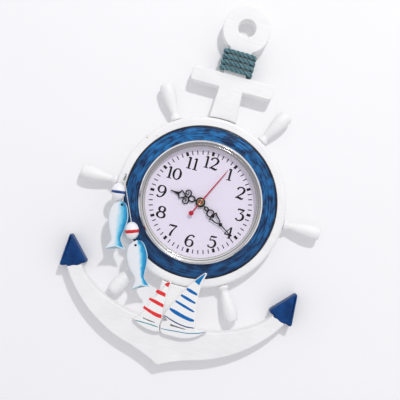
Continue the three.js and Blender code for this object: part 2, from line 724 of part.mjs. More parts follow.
/** Centreline of the rope: a rounded rectangle about the neck that climbs at a steady rate. */
function ropePoints() {
  const half = NECK_HALF + ROPE_SEAT + ROPE_DIAMETER / 2;
  const low = ROPE_DIAMETER / 2 + SEAT_GAP;
  const high = BOARD_THICKNESS + ROPE_SEAT + ROPE_DIAMETER / 2;
  const c = ROPE_CORNER;
  const loop = new THREE.Path();
  loop.moveTo(0, low);
  loop.lineTo(half - c, low);
  loop.absarc(half - c, low + c, c, -Math.PI / 2, 0, false);
  loop.lineTo(half, high - c);
  loop.absarc(half - c, high - c, c, 0, Math.PI / 2, false);
  loop.lineTo(c - half, high);
  loop.absarc(c - half, high - c, c, Math.PI / 2, Math.PI, false);
  loop.lineTo(-half, low + c);
  loop.absarc(c - half, low + c, c, Math.PI, 1.5 * Math.PI, false);
  loop.lineTo(0, low);
  const points = [];
  for (let i = 0; i <= ROPE_TURNS * ROPE_STEPS; i += 1) {
    const turn = i / ROPE_STEPS;
    const spot = loop.getPointAt(i === ROPE_TURNS * ROPE_STEPS ? 1 : turn % 1);
    const lift = ropeMiddle + (turn - ROPE_TURNS / 2) * ROPE_PITCH;
    points.push(new THREE.Vector3(spot.x, -spot.y, lift));
  }
  return points;
}

/** Least distance between turns of the rope, less its diameter, measured on its points. */
function leastRopeGap(points) {
  let least = Infinity;
  points.forEach((point, i) => {
    for (let k = i + ROPE_STEPS / 2; k < points.length - 1; k += 1) {
      const line = new THREE.Line3(points[k], points[k + 1]);
      const near = line.closestPointToPoint(point, true, new THREE.Vector3());
      least = Math.min(least, near.distanceTo(point) - ROPE_DIAMETER);
    }
  });
  return least;
}

// Keyhole plate

function plateScrewPlaces() {
  const reach = PLATE_SIZE[1] / 2 - PLATE_SCREW_INSET;
  return [-1, 1].map((side) => [0, plateMiddle + side * reach]);
}

/** Steel plate with a keyhole: the wall screw's head goes in low and its shank rides up the slot. */
function keyholePlate() {
  const [halfWidth, halfHeight] = PLATE_SIZE.map((size) => size / 2);
  const shape = roundedOutline([
    [-halfWidth, plateMiddle - halfHeight], [halfWidth, plateMiddle - halfHeight],
    [halfWidth, plateMiddle + halfHeight], [-halfWidth, plateMiddle + halfHeight],
  ], PLATE_CORNER);
  const low = DIAL_TO_HANG - KEYHOLE_DROP;
  const neck = Math.asin(KEYHOLE_SLOT_RADIUS / KEYHOLE_RADIUS);
  const keyhole = new THREE.Path();
  keyhole.absarc(0, low, KEYHOLE_RADIUS, Math.PI / 2 - neck, Math.PI / 2 + neck, true);
  keyhole.absarc(0, DIAL_TO_HANG - KEYHOLE_SLOT_RADIUS, KEYHOLE_SLOT_RADIUS, Math.PI, 0, true);
  keyhole.closePath();
  shape.holes.push(keyhole);
  for (const [x, z] of plateScrewPlaces()) shape.holes.push(hole(PLATE_SCREW_RADIUS + SLIP_GAP, x, z));
  return plate(shape, plateBack, plateBack + PLATE_THICKNESS);
}

/** Pan-head screw seen from the back: its head stays inside the back plane. */
function plateScrew() {
  const top = SLIP_GAP / 4;
  const head = plateBack - SLIP_GAP / 2;
  return turned([
    [0, top], [PLATE_SCREW_HEAD * 0.8, top], [PLATE_SCREW_HEAD, head], [PLATE_SCREW_RADIUS, head],
    [PLATE_SCREW_RADIUS, PLATE_SCREW_LENGTH - 2], [0, PLATE_SCREW_LENGTH],
  ], PEG_FACETS);
}

// Clock insert

const cupInner = CUP_RADIUS - CUP_WALL;
const dialRadius = cupInner - SEAT_GAP;
const dialBack = DIAL_FRONT - DIAL_THICKNESS;
const caseWindow = CASE_SIZE / 2 + SEAT_GAP;

/** Cup: a pan with a shelf for the dial and a square window for the movement in its back. */
function insertCup() {
  const floor = CUP_BACK + CUP_FLOOR;
  const shelf = dialBack - SEAT_GAP;
  const pan = turned([
    [0, CUP_BACK], [CUP_RADIUS, CUP_BACK], [CUP_RADIUS, CUP_RIM], [cupInner, CUP_RIM], [cupInner, shelf],
    [DIAL_VIEW_RADIUS - 1, shelf], [DIAL_VIEW_RADIUS - 1, floor], [0, floor],
  ], INSERT_FACETS);
  return cut(pan, block(-caseWindow, caseWindow, -caseWindow, caseWindow, -1, floor + 1));
}

/** Bezel: a rounded lip outside and a slope inside, over the cup's rim and the lens. */
function bezel() {
  const foot = BOARD_THICKNESS + SEAT_GAP;
  const seat = CUP_RIM + SEAT_GAP;
  const lip = LENS_BACK + LENS_THICKNESS + SEAT_GAP;
  const skirt = CUP_RADIUS + SEAT_GAP;
  return turned([
    [cupInner, seat], [skirt, seat], [skirt, foot], [BEZEL_RADIUS, foot], [BEZEL_RADIUS, foot + 1.8],
    [BEZEL_RADIUS - 0.4 * BEZEL_LIP, BEZEL_TOP - 0.8], [BEZEL_RADIUS - BEZEL_LIP, BEZEL_TOP],
    [DIAL_VIEW_RADIUS, lip + 0.4], [DIAL_VIEW_RADIUS, lip], [cupInner, lip], [cupInner, seat],
  ], WHEEL_FACETS);
}

/** Thin card with a hole for the movement's bushing. */
function dialPlate() {
  return tube(BUSHING_RADIUS + 2 * SLIP_GAP, dialRadius, dialBack, DIAL_FRONT, INSERT_FACETS);
}

/** Ring that keeps the lens off the dial. */
function spacerRing() {
  return tube(DIAL_VIEW_RADIUS, dialRadius, DIAL_FRONT + SLIP_GAP, LENS_BACK - SLIP_GAP, INSERT_FACETS);
}

/** Hexagon nut that clamps the dial to the movement's bushing. */
function dialNut() {
  const corners = Array.from({ length: 6 }, (_, i) => {
    return new THREE.Vector2(DIAL_NUT_RADIUS, 0).rotateAround(new THREE.Vector2(), rad(60 * i));
  });
  const shape = new THREE.Shape(corners);
  shape.holes.push(hole(BUSHING_RADIUS + 2 * SLIP_GAP));
  return plate(shape, DIAL_FRONT + SLIP_GAP, HOUR_HAND_BACK - 2 * SEAT_GAP);
}

// Hands

/** A hand in one flat sheet, pointing up: a hub with its bore, and the given figures on its stem. */
function handSheet(figures, hubRadius, bore, low) {
  const high = low + HAND_THICKNESS;
  const sheets = figures.map((figure) => plate(figure, low, high));
  const hub = rod(hubRadius, low, high, HUB_FACETS);
  return cut(join(hub, ...sheets), rod(bore, low - 1, high + 1, BORE_FACETS));
}

function bar(halfWidth, from, to, endHalf = halfWidth) {
  const shape = new THREE.Shape();
  shape.moveTo(-halfWidth, from);
  shape.lineTo(halfWidth, from);
  shape.lineTo(endHalf, to);
  shape.lineTo(-endHalf, to);
  shape.closePath();
  return shape;
}

function loop(radius, wire, x, z) {
  const shape = disc(radius, x, z);
  shape.holes.push(hole(radius - wire, x, z));
  return shape;
}

/** An open leaf that swells from one point to another and tapers again. */
function leaf(halfWidth, from, widest, to, wire) {
  const shape = new THREE.Shape();
  const edge = (path, inset) => {
    const half = halfWidth - inset;
    path.moveTo(0, from + 2 * inset);
    path.quadraticCurveTo(half, from + inset, half, widest);
    path.quadraticCurveTo(half * 0.5, widest + (to - widest) * 0.3, 0, to - 3 * inset);
    path.quadraticCurveTo(-half * 0.5, widest + (to - widest) * 0.3, -half, widest);
    path.quadraticCurveTo(-half, from + inset, 0, from + 2 * inset);
  };
  edge(shape, 0);
  const open = new THREE.Path();
  edge(open, wire);
  shape.holes.push(open);
  return shape;
}

/** Filigree shared by the hour and minute hands, scaled along the hand. */
function filigree(length, hubRadius) {
  const at = (share) => length * share;
  const aside = FILIGREE_LOOP - FILIGREE_WIRE / 3;
  return [
    bar(STEM_HALF, hubRadius - STEM_HALF, at(0.5)),
    loop(FILIGREE_LOOP, FILIGREE_WIRE, -aside, at(0.36)),
    loop(FILIGREE_LOOP, FILIGREE_WIRE, aside, at(0.36)),
    leaf(LEAF_HALF, at(0.44), at(0.56), at(0.8), FILIGREE_WIRE),
    bar(STEM_HALF, at(0.74), length, STEM_HALF / 4),
  ];
}

function hourHand() {
  const figures = filigree(HOUR_LENGTH, HOUR_HUB);
  return handSheet(figures, HOUR_HUB, HOUR_PIPE_RADIUS + SLIP_GAP, HOUR_HAND_BACK);
}

function minuteHand() {
  const figures = filigree(MINUTE_LENGTH, MINUTE_HUB);
  return handSheet(figures, MINUTE_HUB, CANNON_RADIUS + SLIP_GAP, MINUTE_HAND_BACK);
}

/** Red second hand: a thin needle with a round counterweight. */
function secondHand() {
  const needle = STEM_HALF * 0.8;
  const figures = [
    bar(needle, 0, SECOND_LENGTH, needle / 2),
    bar(needle, COUNTERWEIGHT - SECOND_TAIL, 0),
    disc(COUNTERWEIGHT, 0, COUNTERWEIGHT - SECOND_TAIL),
  ];
  return handSheet(figures, SECOND_HUB, SECOND_ARBOR_RADIUS + SLIP_GAP, SECOND_HAND_BACK);
}

const nutBack = MINUTE_HAND_BACK + HAND_THICKNESS + SLIP_GAP;

/** Round nut on the cannon pinion, over the minute hand. */
function handNut() {
  return tube(CANNON_RADIUS + SLIP_GAP, HAND_NUT_RADIUS, nutBack, nutBack + HAND_NUT_HEIGHT, HUB_FACETS);
}

// Quartz movement

const tipRadius = (teeth, module) => module * (teeth / 2 + 0.45);
const rootRadius = (teeth, module) => module * (teeth / 2 - 0.65);

/** Toothed outline; the first tooth stands at the given angle, in degrees from +X. */
function gearOutline(teeth, module, firstTooth) {
  const [root, tip] = [rootRadius(teeth, module), tipRadius(teeth, module)];
  const step = 2 * Math.PI / teeth;
  const isPinion = teeth <= CANNON_TEETH;
  const marks = isPinion ? [[root, -0.3], [tip, 0], [root, 0.3]] : [[root, -0.5], [tip, 0]];
  const shape = new THREE.Shape();
  for (let i = 0; i < teeth; i += 1) {
    marks.forEach(([radius, share], k) => {
      const angle = rad(firstTooth) + (i + share) * step;
      const spot = [radius * Math.cos(angle), radius * Math.sin(angle)];
      if (i + k === 0) shape.moveTo(...spot);
      else shape.lineTo(...spot);
    });
  }
  shape.closePath();
  return shape;
}

function gear(teeth, module, firstTooth, low, high) {
  return plate(gearOutline(teeth, module, firstTooth), low, high);
}

/** Angle of a tooth that leaves a gap facing back along a line of centres. */
const gapFacing = (degrees, teeth) => degrees + 180 + 180 / teeth;

/** Distance between the centres of two meshed wheels. */
const apart = (first, second, module) => module * (first + second) / 2;

const centre = [0, 0];
const thirdPlace = placeAt(centre, apart(PINION_TEETH, CENTRE_TEETH, CENTRE_MODULE), TRAIN_ANGLE.third);
const intermediatePlace = placeAt(centre, apart(SECOND_TEETH, PINION_TEETH, SECOND_MODULE),
  TRAIN_ANGLE.intermediate);
const rotorPlace = placeAt(intermediatePlace, apart(INTERMEDIATE_TEETH, ROTOR_TEETH, FAST_MODULE),
  TRAIN_ANGLE.intermediate);
const minuteWheelPlace = placeAt(centre, apart(CANNON_TEETH, MINUTE_WHEEL_TEETH, CANNON_MODULE),
  TRAIN_ANGLE.motion);
const setPlace = placeAt(minuteWheelPlace, apart(SET_TEETH, MINUTE_WHEEL_TEETH, CANNON_MODULE),
  TRAIN_ANGLE.motion);

const trainReach = Math.max(tipRadius(SECOND_TEETH, SECOND_MODULE), tipRadius(CENTRE_TEETH, CENTRE_MODULE));
const cellPlace = placeAt(centre, trainReach + CELL_GAP + CELL_RADIUS, TRAIN_ANGLE.cell);

const coverFront = COVER_BACK + COVER_THICKNESS;
const caseFront = dialBack - SEAT_GAP;
const caseInner = caseFront - CASE_WALL;
const arborLow = coverFront + SEAT_GAP;
const arborHigh = caseInner - SEAT_GAP;

const wheel = (teeth, module, first, level) => gear(teeth, module, first, level, level + WHEEL_SHEET);
const pinion = (teeth, module, first, level) => gear(teeth, module, first, level, level + PINION_FACE);

function rotor() {
  const { intermediate } = TRAIN_ANGLE;
  return join(
    rod(ARBOR_RADIUS, arborLow, arborHigh, PEG_FACETS),
    pinion(ROTOR_TEETH, FAST_MODULE, gapFacing(intermediate, ROTOR_TEETH), LEVELS.rotorPinion),
    rod(MAGNET_RADIUS, LEVELS.rotorMagnet, LEVELS.rotorMagnet + MAGNET_THICKNESS, HUB_FACETS),
  );
}

function intermediateWheel() {
  const { intermediate } = TRAIN_ANGLE;
  return join(
    rod(ARBOR_RADIUS, arborLow, arborHigh, PEG_FACETS),
    wheel(INTERMEDIATE_TEETH, FAST_MODULE, intermediate, LEVELS.intermediateWheel),
    pinion(PINION_TEETH, SECOND_MODULE, gapFacing(intermediate, PINION_TEETH), LEVELS.intermediatePinion),
  );
}

function secondWheel() {
  return join(
    rod(SECOND_ARBOR_RADIUS, arborLow, SECOND_HAND_BACK + HAND_THICKNESS + SLIP_GAP, PEG_FACETS),
    wheel(SECOND_TEETH, SECOND_MODULE, TRAIN_ANGLE.intermediate, LEVELS.secondWheel),
    pinion(PINION_TEETH, THIRD_MODULE, TRAIN_ANGLE.third, LEVELS.secondPinion),
  );
}

function thirdWheel() {
  const { third } = TRAIN_ANGLE;
  return join(
    rod(ARBOR_RADIUS, arborLow, arborHigh, PEG_FACETS),
    wheel(THIRD_TEETH, THIRD_MODULE, gapFacing(third, THIRD_TEETH), LEVELS.thirdWheel),
    pinion(PINION_TEETH, CENTRE_MODULE, third + 180, LEVELS.thirdPinion),
  );
}

function centreWheel() {
  const { centreWheel: level } = LEVELS;
  const sheet = wheel(CENTRE_TEETH, CENTRE_MODULE, gapFacing(TRAIN_ANGLE.third + 180, CENTRE_TEETH), level);
  return cut(sheet, rod(CANNON_RADIUS + SLIP_GAP, level - 1, level + 2, BORE_FACETS));
}

function cannonPinion() {
  const high = nutBack + HAND_NUT_HEIGHT;
  const low = LEVELS.centreWheel - SLIP_GAP;
  const body = join(
    rod(CANNON_RADIUS, low, high, BORE_FACETS),
    pinion(CANNON_TEETH, CANNON_MODULE, TRAIN_ANGLE.motion, LEVELS.cannonPinion),
  );
  return cut(body, rod(CANNON_BORE, low - 1, high + 1, BORE_FACETS));
}

function minuteWheel() {
  const { motion } = TRAIN_ANGLE;
  return join(
    rod(ARBOR_RADIUS, LEVELS.centreWheel + WHEEL_SHEET + SEAT_GAP, arborHigh, PEG_FACETS),
    wheel(MINUTE_WHEEL_TEETH, CANNON_MODULE, gapFacing(motion, MINUTE_WHEEL_TEETH), LEVELS.minuteWheel),
    pinion(MINUTE_PINION_TEETH, MOTION_MODULE, motion + 180, LEVELS.minutePinion),
  );
}

function hourWheel() {
  const high = HOUR_HAND_BACK + HAND_THICKNESS + SLIP_GAP;
  const body = join(
    rod(HOUR_PIPE_RADIUS, LEVELS.hourWheel, high, BORE_FACETS),
    wheel(HOUR_TEETH, MOTION_MODULE, gapFacing(TRAIN_ANGLE.motion + 180, HOUR_TEETH), LEVELS.hourWheel),
  );
  return cut(body, rod(HOUR_PIPE_BORE, LEVELS.hourWheel - 1, high + 1, BORE_FACETS));
}

function setKnob() {
  const back = COVER_BACK - SEAT_GAP;
  return join(
    rod(KNOB_RADIUS, back, back + KNOB_THICKNESS, HUB_FACETS),
    rod(KNOB_SHAFT_RADIUS, back + KNOB_THICKNESS / 2, arborHigh, PEG_FACETS),
    pinion(SET_TEETH, CANNON_MODULE, TRAIN_ANGLE.motion + 180, LEVELS.minuteWheel - SEAT_GAP),
  );
}

function caseOutline(half) {
  return roundedOutline([[-half, -half], [half, -half], [half, half], [-half, half]], CASE_CORNER);
}

/** Case: an open tray with the threaded bushing that the dial and the hands' pipes go through. */
function movementCase() {
  const body = plate(caseOutline(CASE_SIZE / 2), coverFront + SLIP_GAP, caseFront);
  const hollow = plate(caseOutline(CASE_SIZE / 2 - CASE_WALL), coverFront - 1, caseInner);
  const bushing = rod(BUSHING_RADIUS, caseInner + CASE_WALL / 4, HOUR_HAND_BACK - SEAT_GAP, HUB_FACETS);
  const bore = rod(HOUR_PIPE_RADIUS + SEAT_GAP, caseInner - 1, HOUR_HAND_BACK + 1, BORE_FACETS);
  return cut(join(cut(body, hollow), bushing), bore);
}

function movementCover() {
  const shape = caseOutline(CASE_SIZE / 2);
  shape.holes.push(hole(KNOB_RADIUS + SEAT_GAP, ...setPlace));
  return plate(shape, COVER_BACK, coverFront);
}

const caseReach = CASE_SIZE / 2 - CASE_WALL;
const coilZ = COIL.radius + SEAT_GAP - caseReach;
const coilStart = rotorPlace[0] - STATOR.side + STATOR.limb + STATOR.gap;

/** Stator: a soft iron sheet round the rotor, whose lower limb is the coil's core. */
function stator() {
  const { side, top, limb, gap, sheet, core, tooth } = STATOR;
  const [x, z] = rotorPlace;
  const left = x - side;
  const window = { left: left + limb, right: coilStart + COIL.length + gap, top: z - tooth };
  const right = window.right + limb;
  const shape = new THREE.Shape();
  shape.moveTo(left, coilZ - core);
  shape.lineTo(right, coilZ - core);
  shape.lineTo(right, z + top);
  shape.lineTo(left, z + top);
  shape.closePath();
  const opening = new THREE.Path();
  opening.moveTo(window.left, coilZ + core);
  opening.lineTo(window.left, window.top);
  opening.lineTo(window.right, window.top);
  opening.lineTo(window.right, coilZ + core);
  opening.closePath();
  shape.holes.push(opening, hole(MAGNET_RADIUS + SEAT_GAP, x, z));
  return plate(shape, LEVELS.stator, LEVELS.stator + sheet);
}

function driveCoil() {
  const { length, radius, bore } = COIL;
  const points = [[bore, 0], [radius, 0], [radius, length], [bore, length], [bore, 0]];
  const geometry = new THREE.LatheGeometry(points.map(([r, x]) => new THREE.Vector2(r, x)), HUB_FACETS);
  return geometry.rotateZ(-Math.PI / 2).translate(coilStart, -(LEVELS.stator + STATOR.sheet / 2), coilZ);
}

const cellFront = arborLow + CELL_THICKNESS;
const contactFront = cellFront + SEAT_GAP / 2 + CONTACT_SHEET;

/** Leaf on the flat front of the cell. */
function minusContact() {
  const [x, z] = cellPlace;
  const [halfLong, halfWide] = CONTACT_HALF;
  const back = contactFront - CONTACT_SHEET;
  return block(x - halfLong, x + halfLong, z - halfWide, z + halfWide, back, contactFront);
}

/** Leaf against the round side of the cell. */
function plusContact() {
  const [x, z] = cellPlace;
  const [half] = CONTACT_HALF;
  const edge = x + CELL_RADIUS + SEAT_GAP;
  return block(edge, edge + CONTACT_SHEET, z - half, z + half, arborLow, contactFront);
}

function circuitBoard() {
  const [x, z] = cellPlace;
  const edge = caseReach - CIRCUIT_GAP;
  const back = contactFront + SEAT_GAP / 2;
  return block(x - CIRCUIT_OVERLAP, edge, -edge, z + CIRCUIT_OVERLAP, back, back + CIRCUIT_SHEET);
}

// Pendants

const eyeCentre = [EYE_SCREW[0], EYE_SCREW[1] + EYE_RING_RADIUS];

/** Screw eye: a wire ring edge-on to the front, on a shank driven into the wheel's rim. */
function screwEye() {
  const ring = new THREE.TorusGeometry(EYE_RING_RADIUS, EYE_WIRE_RADIUS, 6, 16).rotateY(Math.PI / 2);
  ring.translate(eyeCentre[0], -EYE_SCREW_HEIGHT, eyeCentre[1]);
  const depth = BOARD_THICKNESS - EYE_SHANK_DEPTH;
  const shank = rod(EYE_WIRE_RADIUS, depth, EYE_SCREW_HEIGHT - EYE_RING_RADIUS, PEG_FACETS);
  shank.translate(eyeCentre[0], 0, eyeCentre[1]);
  return join(ring, shank);
}

const lean = (degrees) => [Math.sin(rad(degrees)), -Math.cos(rad(degrees))];
const stringHeight = ({ side }) => EYE_SCREW_HEIGHT + side * STRING_SPREAD;
const along = ([x, z], [dx, dz], reach) => [x + dx * reach, z + dz * reach];

/** Egg-shaped float, bored for its string. */
function float(pendant) {
  const steps = 8;
  const points = Array.from({ length: steps + 1 }, (_, i) => {
    const turn = Math.PI * (i / steps - 0.5);
    return new THREE.Vector2(Math.max(FLOAT_RADIUS * Math.cos(turn), 0), FLOAT_HALF_LENGTH * Math.sin(turn));
  });
  const egg = new THREE.LatheGeometry(points, FLOAT_FACETS).rotateX(Math.PI / 2);
  const bore = new THREE.CylinderGeometry(FLOAT_BORE, FLOAT_BORE, 3 * FLOAT_HALF_LENGTH, PEG_FACETS);
  const geometry = cut(egg, bore.rotateX(Math.PI / 2));
  geometry.rotateY(-rad(pendant.floatLean));
  return geometry.translate(pendant.float[0], -stringHeight(pendant), pendant.float[1]);
}

/** Where the string enters the fish, just below the float. */
function fishEntry(pendant) {
  return along(pendant.float, lean(pendant.floatLean), FLOAT_HALF_LENGTH + STRING_ENTRY);
}

/** Path of a string: from its loop on the screw eye, through the float, into the fish. */
function stringPath(pendant) {
  const axis = lean(pendant.floatLean);
  const top = along(pendant.float, axis, -FLOAT_HALF_LENGTH);
  const [dx, dz] = [top[0] - EYE_SCREW[0], top[1] - EYE_SCREW[1]];
  const start = along(EYE_SCREW, [dx, dz], STRING_LOOP / Math.hypot(dx, dz));
  const points = [start, top, along(pendant.float, axis, 0), fishEntry(pendant)];
  return points.map(([x, z]) => new THREE.Vector3(x, -stringHeight(pendant), z));
}

/** String: a loop about the eye's wire, and a straight fall. */
function string(pendant) {
  const knot = new THREE.TorusGeometry(STRING_LOOP, STRING_RADIUS, 6, 12).rotateX(Math.PI / 2);
  knot.translate(EYE_SCREW[0], -stringHeight(pendant), EYE_SCREW[1]);
  return join(knot, sweep(stringPath(pendant), STRING_RADIUS, 8));
}

/** Fish: thin board with eased edges, bored at the top of its head for the string. */
function fish(pendant) {
  const body = plate(fishOutline(), -FISH_THICKNESS / 2, FISH_THICKNESS / 2, FISH_EDGE, FISH_STEP);
  body.rotateY(-rad(pendant.lean)).translate(pendant.nose[0], -stringHeight(pendant), pendant.nose[1]);
  const radius = STRING_RADIUS + SEAT_GAP;
  const start = along(pendant.float, lean(pendant.floatLean), FLOAT_HALF_LENGTH - 1);
  const depth = STRING_ENTRY + 1 + 4 * SEAT_GAP;
  return cut(body, flatRod(radius, depth, start, pendant.floatLean - 90, stringHeight(pendant), PEG_FACETS));
}

// Assembly

const clock = new THREE.Group();
const aboutDial = new THREE.Group();
aboutDial.position.z = -DIAL_TO_HANG;
clock.add(aboutDial);

function add(name, geometry, material, [x, z] = [0, 0], turn = 0) {
  const mesh = new THREE.Mesh(closedBody(geometry), material);
  mesh.name = name;
  mesh.position.set(x, 0, z);
  mesh.rotation.y = rad(turn);
  aboutDial.add(mesh);
}

const m = materials;
add('anchor_shank_board', shankBoard(), m.whitePaint);
add('anchor_arm_board', armBoard(), m.whitePaint);
add('fluke_left', plate(flukeOutline(-1), 0, BOARD_THICKNESS, BOARD_EDGE), m.navyPaint);
add('fluke_right', plate(flukeOutline(1), 0, BOARD_THICKNESS, BOARD_EDGE), m.navyPaint);
add('wheel_ring', wheelRing(), m.whitePaint);
add('wheel_band', wheelBand(), m.bluePaint);
handleAngles.forEach((angle, i) => add(`handle_${i + 1}`, handleGeometry(), m.whitePaint, centre, -angle));
dowelPlaces().forEach((place, i) => add(`dowel_${i + 1}`, dowel(place), m.bareWood));

const rope = ropePoints();
console.log(`rope winding: least gap to itself ${leastRopeGap(rope).toFixed(3)} mm`);
add('rope_winding', sweep(rope, ROPE_DIAMETER / 2, ROPE_SIDES), m.rope);

add('keyhole_plate', keyholePlate(), m.steel);
plateScrewPlaces().forEach((place, i) => add(`plate_screw_${i + 1}`, plateScrew(), m.steel, place));

add('insert_cup', insertCup(), m.blackPlastic);
add('cup_gasket', tube(CUP_RADIUS + SEAT_GAP, WHEEL_BORE - SEAT_GAP, ...GASKET, INSERT_FACETS), m.rubber);
add('bezel', bezel(), m.silver);
add('lens', rod(dialRadius, LENS_BACK, LENS_BACK + LENS_THICKNESS, INSERT_FACETS), m.glass);
add('spacer_ring', spacerRing(), m.whitePlastic);
add('dial_plate', dialPlate(), m.dial);
add('dial_nut', dialNut(), m.brass);

add('hour_hand', hourHand(), m.blackLacquer, centre, HOUR_ANGLE);
add('minute_hand', minuteHand(), m.blackLacquer, centre, MINUTE_ANGLE);
add('hand_nut', handNut(), m.brass);
add('second_hand', secondHand(), m.redLacquer, centre, SECOND_ANGLE);

add('movement_case', movementCase(), m.blackPlastic);
add('movement_cover', movementCover(), m.blackPlastic);
add('battery', rod(CELL_RADIUS, arborLow, cellFront, HUB_FACETS), m.steel, cellPlace);
add('contact_minus', minusContact(), m.brass);
add('contact_plus', plusContact(), m.brass);
add('circuit_board', circuitBoard(), m.board);
add('drive_coil', driveCoil(), m.copper);
add('stator', stator(), m.steel);
add('rotor', rotor(), m.steel, rotorPlace);
add('intermediate_wheel', intermediateWheel(), m.whitePlastic, intermediatePlace);
add('second_wheel', secondWheel(), m.whitePlastic);
add('third_wheel', thirdWheel(), m.whitePlastic, thirdPlace);
add('centre_wheel', centreWheel(), m.whitePlastic);
add('cannon_pinion', cannonPinion(), m.brass);
add('minute_wheel', minuteWheel(), m.whitePlastic, minuteWheelPlace);
add('hour_wheel', hourWheel(), m.whitePlastic);
add('set_knob', setKnob(), m.whitePlastic, setPlace);

add('screw_eye', screwEye(), m.brass);
PENDANTS.forEach((pendant, i) => {
  add(`string_${i + 1}`, string(pendant), m.twine);
  add(`float_${i + 1}`, float(pendant), m.whitePaint);
  add(`fish_${i + 1}`, fish(pendant), m.fish);
});

const boatBack = BOARD_THICKNESS + SEAT_GAP;
const waterline = [0, -WHEEL_RADIUS - WATERLINE_DROP];
BOATS.forEach((boat, i) => {
  const board = plate(boatOutline(boat), boatBack, boatBack + BOAT_THICKNESS, BOAT_EDGE, BOAT_STEP);
  add(`boat_${i + 1}`, board, m.whitePaint, waterline);
});

export default clock;
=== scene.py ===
"""A wooden marine wall clock: anchor, ship's wheel, clock insert, rope, fish on strings and sailing boats."""

import logging
from dataclasses import dataclass
from enum import Enum

import bmesh
import bpy
import numpy as np
from bpy.types import ID, Material, Mesh, Node, NodeSocket, NodeTree, Object
from mathutils import Matrix, Vector
from mathutils.geometry import tessellate_polygon


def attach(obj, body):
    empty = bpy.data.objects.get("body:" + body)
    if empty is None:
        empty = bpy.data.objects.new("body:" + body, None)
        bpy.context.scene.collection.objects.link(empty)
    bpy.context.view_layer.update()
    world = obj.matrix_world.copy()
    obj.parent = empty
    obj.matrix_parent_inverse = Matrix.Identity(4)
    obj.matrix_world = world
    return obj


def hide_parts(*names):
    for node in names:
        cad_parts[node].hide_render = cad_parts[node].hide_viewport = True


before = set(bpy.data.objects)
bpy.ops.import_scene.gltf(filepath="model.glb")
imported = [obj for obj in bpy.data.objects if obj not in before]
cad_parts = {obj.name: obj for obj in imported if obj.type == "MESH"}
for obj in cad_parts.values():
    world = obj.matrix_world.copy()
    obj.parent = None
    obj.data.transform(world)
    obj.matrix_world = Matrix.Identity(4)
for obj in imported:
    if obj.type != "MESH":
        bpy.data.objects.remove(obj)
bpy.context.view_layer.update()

log = logging.getLogger("marine_clock")

MM = 0.001
DIAL_Z = -100.0
BOARD_FRONT = 15.0
FULL_TURN = 2 * np.pi
DIAL_CENTRE = (0.0, 0.0, DIAL_Z * MM)
SHARP_ANGLE = 42.0
SEAM = 1e-6
SUNK = 0.1
OUTWARD = (0.0, -1.0, 0.0)
LEAST_CORD = 0.03


class Body(Enum):
    """Bodies of the clock that a piece can ride on."""

    CLOCK = "clock_body"
    HOUR = "hour"
    MINUTE = "minute"
    SECOND = "second"
    PENDANT_1 = "pendant_1"
    PENDANT_2 = "pendant_2"


class Cap(Enum):
    """How a lofted surface ends."""

    OPEN = "open"
    FLAT = "flat"


# Points and outlines, in millimetres of the front view: x to the right, z up, height off the wall


def place(x: np.ndarray, z: np.ndarray, height: np.ndarray) -> np.ndarray:
    """Turns front-view millimetres about the dial, arrays or plain numbers, into metres of the frame."""
    x, z, height = np.broadcast_arrays(x, z, height)
    return np.stack([x, -height, z + DIAL_Z], axis=-1) * MM


def arc(radius: float, start: float, end: float, count: int, centre: tuple = (0.0, 0.0)) -> np.ndarray:
    """Points on a circle from one angle to another, in degrees anticlockwise from the right."""
    angle = np.radians(np.linspace(start, end, count))
    return np.stack([centre[0] + radius * np.cos(angle), centre[1] + radius * np.sin(angle)], -1)


def bend(start: tuple, pull: tuple, end: tuple, count: int = 14) -> np.ndarray:
    """Quadratic curve: (1-t)^2 start + 2t(1-t) pull + t^2 end."""
    t = np.linspace(0, 1, count)[:, None]
    return (1 - t) ** 2 * np.array(start) + 2 * t * (1 - t) * np.array(pull) + t**2 * np.array(end)


def cubic(start: tuple, first: tuple, second: tuple, end: tuple, count: int = 30) -> np.ndarray:
    """Cubic curve with two pulls: the Bernstein sum of its four points.

    Args:
        start: First point.
        first: Point that the curve's first half leans to.
        second: Point that its second half leans to.
        end: Last point.
        count: How many points.

    Returns:
        The points.
    """
    t = np.linspace(0, 1, count)[:, None]
    head = (1 - t) ** 3 * np.array(start) + 3 * t * (1 - t) ** 2 * np.array(first)
    return head + 3 * t**2 * (1 - t) * np.array(second) + t**3 * np.array(end)


def through(points: list | tuple | np.ndarray, steps: int = 10) -> np.ndarray:
    """Smooth curve through points: Catmull-Rom, where each span leaves along its neighbours' chord.

    Args:
        points: Points that the curve passes.
        steps: Points on each span.

    Returns:
        The points.
    """
    knots = np.array(points, float)
    ends = [2 * knots[0] - knots[1], 2 * knots[-1] - knots[-2]]
    padded = np.vstack([ends[0], knots, ends[1]])
    a, b, c, d = padded[:-3], padded[1:-2], padded[2:-1], padded[3:]
    t = np.linspace(0, 1, steps, endpoint=False)[None, :, None]
    a, b, c, d = (part[:, None, :] for part in (a, b, c, d))
    span = b + 0.5 * t * (c - a + t * (2 * a - 5 * b + 4 * c - d + t * (3 * (b - c) + d - a)))
    return np.vstack([span.reshape(-1, knots.shape[1]), knots[-1:]])


def running(line: np.ndarray) -> np.ndarray:
    """Length along a line at each of its points."""
    return np.concatenate([[0], np.cumsum(np.linalg.norm(np.diff(line, axis=0), axis=1))])


def evenly(points: np.ndarray, step: float, closed: bool = False) -> np.ndarray:
    """Walks a line again in steps of about one length, by its running length.

    Args:
        points: Points of the line.
        step: Length of a step.
        closed: Whether the last point joins the first.

    Returns:
        The new points.
    """
    line = np.vstack([points, points[:1]]) if closed else points
    run = running(line)
    count = max(int(round(run[-1] / step)), 3)
    at = np.linspace(0, run[-1], count + 1)
    again = np.stack([np.interp(at, run, line[:, k]) for k in range(line.shape[1])], -1)
    return again[:-1] if closed else again


